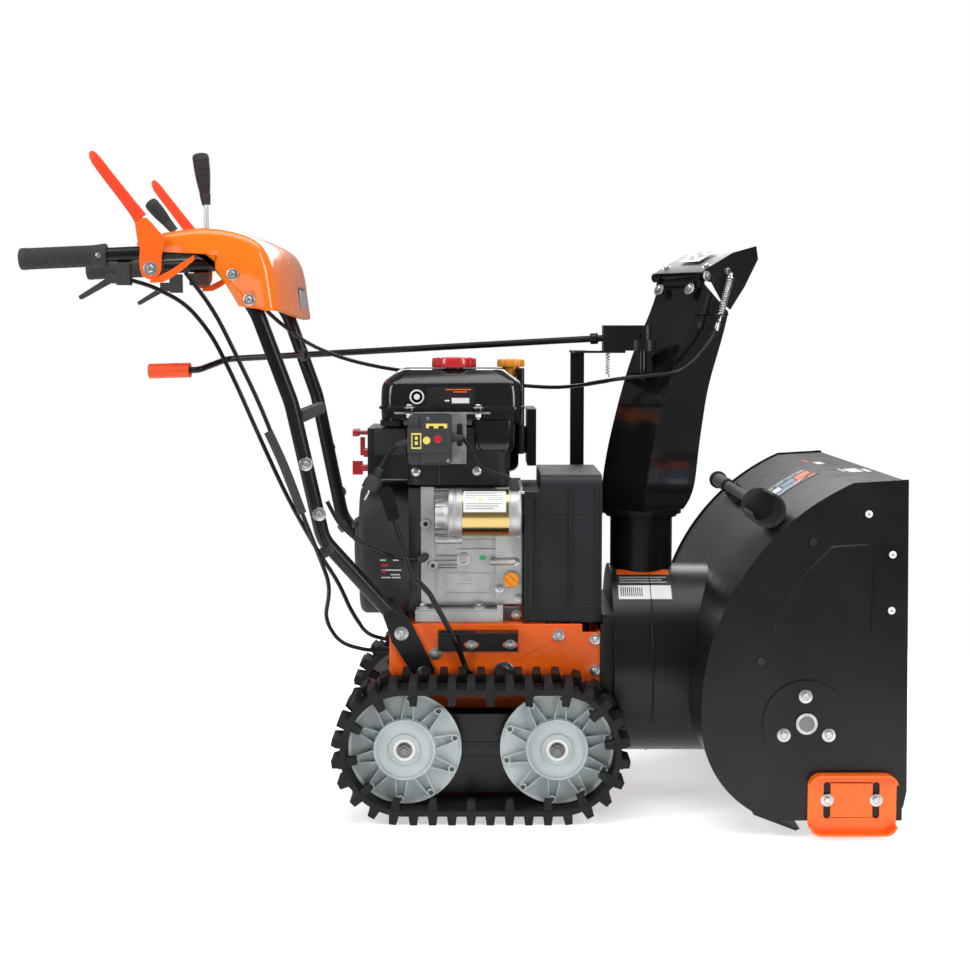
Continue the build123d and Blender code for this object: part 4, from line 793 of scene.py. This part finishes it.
def make_engine():
    dress("engine_block", "cast", 1.2)
    dress_all("cover_plastic", {"engine_shroud": 1.5, "belt_cover": 1.6})
    dress_all("black_plastic", {"blower_housing": 1.5, "recoil_handle": 1.5})
    dress("muffler", "black_coat", 1.2)
    dress("crankshaft", "machined", 0.6)
    dress_all("red", {"choke_knob": 1.2, "throttle_lever": 1.2, "ignition_key": 1.2})
    bm = bmesh.new()
    slab(bm, (-70, -114.5, 345), (-47, -107, 549))
    slab(bm, (59, -115, 345), (104, -107, 548))
    slab(bm, (-47, -109.2, 452), (59, -107, 457))
    for z in (409, 417, 425):
        slab(bm, (-44, -112.5, z), (-7, -107, z + 2.4))
    slab(bm, (-44, -113, 405), (-8, -107, 406.8))
    slab(bm, (-8, -111, 402), (59, -107, 440))
    for low, high in (((-28, 362), (50, 364)), ((-28, 396), (50, 398)), ((-28, 364), (-26, 396)),
                      ((48, 364), (50, 396))):
        slab(bm, (low[0], -110, low[1]), (high[0], -107, high[1]))
    for x, z, w in ((0, 388, 18), (4, 382.5, 16), (-8, 377, 28)):
        slab(bm, (x, -108.9, z), (x + w, -107.5, z + 2.6))
    for z in range(462, 545, 9):
        slab(bm, (-46, -111.5, z), (58, -107, z + 2.6))
    lathe(bm, [(0, 11.8), (4, 11.8), (4.8, 10.5), (4.8, 5.5), (2.2, 5), (2.2, 0)],
          mm(3.4, -110.5, 421.4), OUT, 36)
    lathe(bm, [(0, 0), (0, 6.2), (40, 6.6), (43, 5), (43, 0)], mm(50, -115, 418.7), X_AXIS, 28)
    lathe(bm, [(0, 0), (0, 9.5), (10, 9.5), (11, 8), (11, 0)], mm(-62, -107, 484.6), OUT, 32)
    lathe(bm, [(0, 0), (0, 9.2), (9, 9.2), (10, 8), (10, 0)], mm(-49.5, -107, 411.8), OUT, 32)
    lathe(bm, [(0, 0), (0, 4.2), (1.2, 4), (1.2, 0)], mm(-62, -117.2, 484.6), OUT, 20, 2)
    lathe(bm, [(0, 0), (0, 3.8), (1.2, 3.6), (1.2, 0)], mm(-49.5, -116.2, 411.8), OUT, 20, 2)
    lathe(bm, [(0, 0), (0, 3.6), (1, 3.4), (1, 0)], mm(7, -129.4, 325.2), OUT, 20, 2)
    slab(bm, (-80, -133, 316), (62, -128, 335))
    prism(bm, [(62, 316), (72, 320), (72, 345), (62, 345)], mm(0, -122, 0), X_AXIS, Z_AXIS, 11)
    for x in (-67.4, 31.5):
        lathe(bm, [(0, 10.8), (4, 10.6), (5, 9)], mm(x, -119, 335), Z_AXIS, 28)
        bolt(bm, mm(x, -119, 339.5), Z_AXIS, 6.6, mat=1)
    bolt(bm, mm(96, -113, 325), OUT, 5.2, mat=1)
    bolt(bm, mm(94, -114.5, 419), OUT, 4.2, mat=1)
    for x, z in ((66, 535), (66, 470), (98, 470), (66, 372), (98, 355)):
        bolt(bm, mm(x, -114.8, z), OUT, 4.5, mat=1)
    add("block_castings", bm, ["cast", "zinc", "sticker_black"], bevel=0.9)
    side = bmesh.new()
    lathe(side, [(0, 12), (3, 12.2), (5, 13.8), (8.5, 14), (10.5, 12.8), (10.5, 0)],
          mm(86.6, -115, 387.4), OUT, 60, lobes=10, lobe_depth=0.06)
    prism(side, rounded(26, 6.2, 3, 4), mm(86.6, -125.2, 387.4), Vector((1, 0, -0.9)), Vector((0.9, 0, 1)), 5.5)
    add("dipstick_cap", side, ["amber"], bevel=0.6)
    label = bmesh.new()
    oval = [(6.5 * math.cos(math.radians(a)), 4.2 * math.sin(math.radians(a))) for a in range(0, 360, 12)]
    prism(label, oval, mm(37, -111, 424.8), X_AXIS, Z_AXIS, 0.4)
    add("green_dot", label, ["sticker_green"])
    panel = bmesh.new()
    slab(panel, (-141, -123.8, 421), (-131, -122.8, 423.5), 1)
    slab(panel, (-118, -123.8, 421), (-108, -122.8, 423.5), 1)
    for x0, x1, z, mat in ((-139, -127, 411, 0), (-139, -131, 400, 0), (-139, -104, 404, 1), (-122, -107, 396, 1),
                           (-120, -105, 391, 1), (-139, -122, 391, 1)):
        slab(panel, (x0, -123.8, z), (x1, -122.8, z + (5 if mat == 0 else 2)), mat)
    add("blower_decal", panel, ["red", "sticker_white"])
    shell = bmesh.new()
    for low, high in (((-92, -112, 322), (-69.5, -107, 549)), ((-92, -112, 545), (-69.5, 84, 549)),
                      ((-92, 80, 322), (-69.5, 84, 549)), ((-92, -112, 320), (-69.5, 84, 324))):
        slab(shell, low, high)
    add("blower_rear_shell", shell, ["black_plastic"], bevel=1)
    fan = bmesh.new()
    for k in range(9):
        slab(fan, (-179.6, -70 + k * 16, 372), (-177.5, -62 + k * 16, 462))
    lathe(fan, [(0, 60), (6, 60), (12, 52), (14, 30), (14, 0)], mm(-178, 0, 430), (-1, 0, 0), 64)
    add("recoil_cover", fan, ["black_plastic"], bevel=1)
    bar("oil_switch_boot", [mm(-62, -107, 427), mm(-62, -118, 428), mm(-68, -122, 424), mm(-76, -124, 422)], 6.6,
        "black_plastic")
    split = bmesh.new()
    slab(split, (-39, -127.2, 553), (-36.5, -125.4, 592))
    for x, z in ((-78, 576), (27, 577)):
        lathe(split, [(0, 10.5), (2.2, 10.5), (2.6, 9.5), (1.4, 8.8)], mm(x, -126, z), OUT, 32)
        lathe(split, [(0.8, 0), (0.8, 8), (3, 7.6), (4.4, 5), (4.4, 0)], mm(x, -126, z),
              OUT, 28, 1)
    slab(split, (-150, -114.5, 604), (-96, -111.5, 650))
    add("shroud_screws", split, ["black_plastic", "zinc"], bevel=0.6)
    seams = bmesh.new()
    slab(seams, (107, -131.6, 503), (243.5, -129, 510))
    slab(seams, (107.5, -131.0, 341), (243.5, -129, 343.4), 1)
    slab(seams, (109, -132.8, 316), (113, -129, 500))
    slab(seams, (232, -132.8, 316), (236, -129, 545))
    add("belt_cover_ribs", seams, ["cover_plastic", "sticker_black"], bevel=0.8)


# ---- snow housing and chute --------------------------------------------------------------------
def top_patch(bm, x_range, y_range, mat=0, lift=0.5, thick=0.35):
    """A thin patch laid on the curved back and flat top of the auger housing."""
    def skin(x):
        if x < 627:
            return 207.9 + math.sqrt(401 ** 2 - (x - 792.6) ** 2)
        return 573.2 + (x - 627) * 5.4 / 87
    steps = 6
    rows = []
    for k in range(steps + 1):
        x = x_range[0] + (x_range[1] - x_range[0]) * k / steps
        rows.append([bm.verts.new(mm(x, y, skin(x) + t)) for t in (lift - 0.3, lift + thick) for y in y_range])
    close_strip(bm, rows, mat)


DRUM_HEIGHT = 232


def make_housing():
    dress_all("black_coat", {"auger_housing": 1, "scraper_bar": 0.8, "auger_flights": 0.6, "impeller": 0.8})
    for node in ("side_plate_right", "side_plate_left"):
        dress(node, "black_coat", 2.2, 20)
    dress("skid_shoes", "orange", 1.2)
    dress("clean_out_tool", "black_plastic", 1)
    dress("auger_gearbox", "cast", 1)
    dress("auger_shaft", "dark_steel", 0.6)
    panel = bmesh.new()
    top_patch(panel, (540, 622), (-95, 55))
    for x0, x1, y0, y1, mat in ((548, 566, -52, -12, 1), (569, 590, -52, -12, 2), (593, 616, -52, -12, 3),
                                (548, 580, -66, -56, 2), (583, 604, -66, -56, 3), (606, 618, -88, -74, 3),
                                (548, 600, -74, -70, 1), (548, 592, -84, -80, 1), (548, 560, 6, 10, 1),
                                (566, 578, 6, 10, 1), (584, 596, 6, 10, 1), (602, 614, 6, 10, 1),
                                (548, 616, 18, 22, 1)):
        top_patch(panel, (x0, x1), (y0, y1), mat, 0.95, 0.2)
    for x0, x1, y0, y1, mat in ((668, 690, -140, -70, 1), (694, 702, -150, -95, 1), (660, 664, -120, -60, 1),
                                (650, 664, 60, 110, 1), (640, 646, 120, 170, 3)):
        top_patch(panel, (x0, x1), (y0, y1), mat, 0.5, 0.3)
    add("housing_decals", panel, ["sticker_black", "sticker_white", "sticker_blue", "sticker_orange"])
    drum = bmesh.new()
    centre = mm(0, 0, DRUM_HEIGHT)
    wrap_label(drum, centre, 168.5, (272, 368), (14, 45))
    wrap_label(drum, centre, 168.9, (274, 366), (15, 22), 1, 0.2, 4)
    wrap_label(drum, centre, 168.9, (274, 366), (33, 44), 2, 0.2, 6)
    for a, end in ((24.5, 360), (27, 352), (29.5, 360)):
        wrap_label(drum, centre, 168.9, (277, end), (a, a + 1.2), 3, 0.2, 2)
    for k in range(11):
        wrap_label(drum, centre, 169.1, (278 + k * 3.6, 279.8 + k * 3.6), (35, 42), 0, 0.2, 3)
    add("drum_label", drum, ["sticker_black", "sticker_orange", "sticker_white", "sticker_grey"])
    ring = [math.radians(angle) for angle in range(100, 441, 10)]
    bar("drum_weld", [mm(330, 168.4 * math.cos(a), DRUM_HEIGHT + 168.4 * math.sin(a)) for a in ring], 1.6, "black_coat")


CHUTE_AXIS_X = 322
CHUTE_HEADING = math.radians(40)


def make_chute():
    dress("chute", "black_gloss", 2, 24)
    dress("chute_deflector", "black_coat", 1.2)
    dress_all("cable_jacket", {"deflector_cable": 0.3, "control_cables": 0.3, "drive_belts": 0.6})
    dress("chute_crank_support", "black_coat", 1.4)
    crank = dress("chute_crank", "black_coat", 0.8)
    elbow, end = mm(-496, 152, 746), mm(-585, 163, 743.5)
    arm = (end - elbow).normalized()
    paint(crank, "crank_orange", lambda p: (p - elbow).dot(arm) > 0.0166 and p.x < -0.505)
    ahead = Vector((math.cos(CHUTE_HEADING), math.sin(CHUTE_HEADING), 0))
    left = Z_AXIS.cross(ahead)

    def spot(x, out, z):
        """A point in the chute's own frame: x ahead of its axis, out towards the camera side."""
        return mm(CHUTE_AXIS_X, 0, z) + ahead * (x * MM) - left * (out * MM)

    low, high = spot(123, 75, 849), spot(146, 75, 912)
    axis = (high - low).normalized()
    side, up, _ = frame_of(axis)
    stretched("deflector_spring", coil(low, high - low, side, up, 6.2, 15), 1, "zinc")
    bm = bmesh.new()
    lathe(bm, [(-4, 0), (-4, 3.4), (92, 3.4), (92, 0)], spot(118, 75, 835), axis, 20)
    lathe(bm, [(0, 5), (16, 5), (18, 4)], spot(110, 75, 818), (spot(118, 75, 840) - spot(110, 75, 818)), 20)
    lathe(bm, [(0, 7.2), (3, 7.2)], low - axis * 0.004, axis, 24)
    lathe(bm, [(0, 7.2), (2.5, 7.2)], high, axis, 24)
    prism(bm, rounded(34, 18, 4), spot(118, 76, 846), ahead, -left, -2.5, 1)
    for out in (-64, 64):
        bolt(bm, spot(96, out, 916), -left * math.copysign(1, out), 5.2)
    for y in (-38, 38):
        bolt(bm, spot(80, y, 893), (-ahead + Z_AXIS * 0.42), 6.2)
    add("chute_hardware", bm, ["zinc", "black_coat"], "chute", 0.4)
    tag = bmesh.new()
    slope = (ahead * 66 + Z_AXIS * 29).normalized()
    prism(tag, rounded(52, 50, 2), spot(150, -8, 954.6), slope, left, 0.6)
    for k in range(5):
        for m in range(4):
            if (k * 7 + m * 5) % 3:
                prism(tag, rounded(6.2, 6.2, 0.8, 1), spot(150, -8, 955.2) + slope * (k - 2) * 0.0085
                      + left * (m - 1.5) * 0.0085, slope, left, 0.5, 1)
    for out in (-50, 50):
        bolt(tag, spot(112, out, 933), slope.cross(left), 5, mat=2)
    lathe(tag, [(0, 0), (0, 6.8), (7.5, 6.8), (9, 5), (9, 0)], spot(150, 61, 925), -left, 28, 2)
    add("deflector_tag", tag, ["sticker_white", "sticker_black", "zinc"], "deflector", 0.3)
    pivot = bmesh.new()
    bar("gear_case_spring", coil(mm(259, -15, 741), mm(0, 0, 37), X_AXIS, Y_AXIS, 3.4, 7), 0.8, "zinc")
    lathe(pivot, [(0, 0), (0, 2), (46, 2), (46, 0)], mm(259, -15, 737), Z_AXIS, 16)
    lathe(pivot, [(0, 0), (0, 4.2), (5, 4.2), (5, 0)], mm(259, -15, 736), Z_AXIS, 6)
    add("gear_case_stud", pivot, ["zinc"], bevel=0.3)


# ---- frame, drive and controls -----------------------------------------------------------------
def make_frame():
    dress("tractor_frame", "orange", 1.4)
    dress("shaft_bearings", "zinc", 0.6)
    dress("drive_plate", "cast", 0.8)
    dress("hex_shaft", "machined", 0.5)
    dress_all("black_coat", {"lever_gate": 0.8, "height_lever": 1})
    wheel = dress("friction_wheel", "machined", 0.6)
    paint(wheel, "grip_rubber", lambda p: math.hypot(p.x - 0.074, p.z - 0.230) > 0.064)
    ribbed_knob("deflector_lever_grip", (-447, -40, 1042), (-456, -40, 1127), (8.5, 9.5, 14.6), "deflector_lever",
                (-447, -40, 958))
    ribbed_knob("speed_lever_grip", (-524, 60, 1002), (-566, 60, 1052), (8.0, 9.0, 12.6), "speed_lever",
                (-484, 60, 957))
    bm = bmesh.new()
    for x in (17.5, 84.6):
        prism(bm, rounded(26, 9.6, 4.7), mm(x, -147.1, 278.4), X_AXIS, Z_AXIS, 0.4)
    add("gate_slots", bm, ["orange"])
    clamp = bmesh.new()
    for side in (-1, 1):
        spot, ahead = mm(-226, side * 189.6, 449), Vector((0.62, side * -0.2, -0.75)).normalized()
        lathe(clamp, [(-7, 12.8), (-7, 15), (7, 15), (7, 12.8)], spot, ahead, 40)
        lathe(clamp, [(0, 5), (6, 5), (7, 4), (7, 0)], spot + Vector((0, side * 0.014, 0)),
              (0, side, 0), 6)
    add("handle_clamps", clamp, ["black_plastic"], bevel=0.8)
    bar("deflector_cable_tail", [mm(-334, 97.5, 831.5), mm(-348, 95, 843.5), mm(-368, 90, 864), mm(-396, 62, 897),
                                 mm(-420, 14, 922), mm(-438, -22, 944)], 3.7, "cable_jacket")
    stretched("cable_span", [mm(226, 25.5, 722.7), mm(235, 11.7, 724.9), mm(242, 0.5, 726.4), mm(249.5, -10.5, 728),
                             mm(259, -22.2, 730.1)], 3.9, "cable_jacket")
    bar("cable_sleeve", [mm(-315, -255, 652), mm(-296, -250, 610), mm(-278, -246, 562), mm(-262, -243, 516)], 7.6,
        "black_plastic")


make_plug()
make_running_gear()
make_bolts()
make_handles()
make_dash()
make_tank()
make_starter()
make_switch_box()
make_engine()
make_housing()
make_chute()
make_frame()
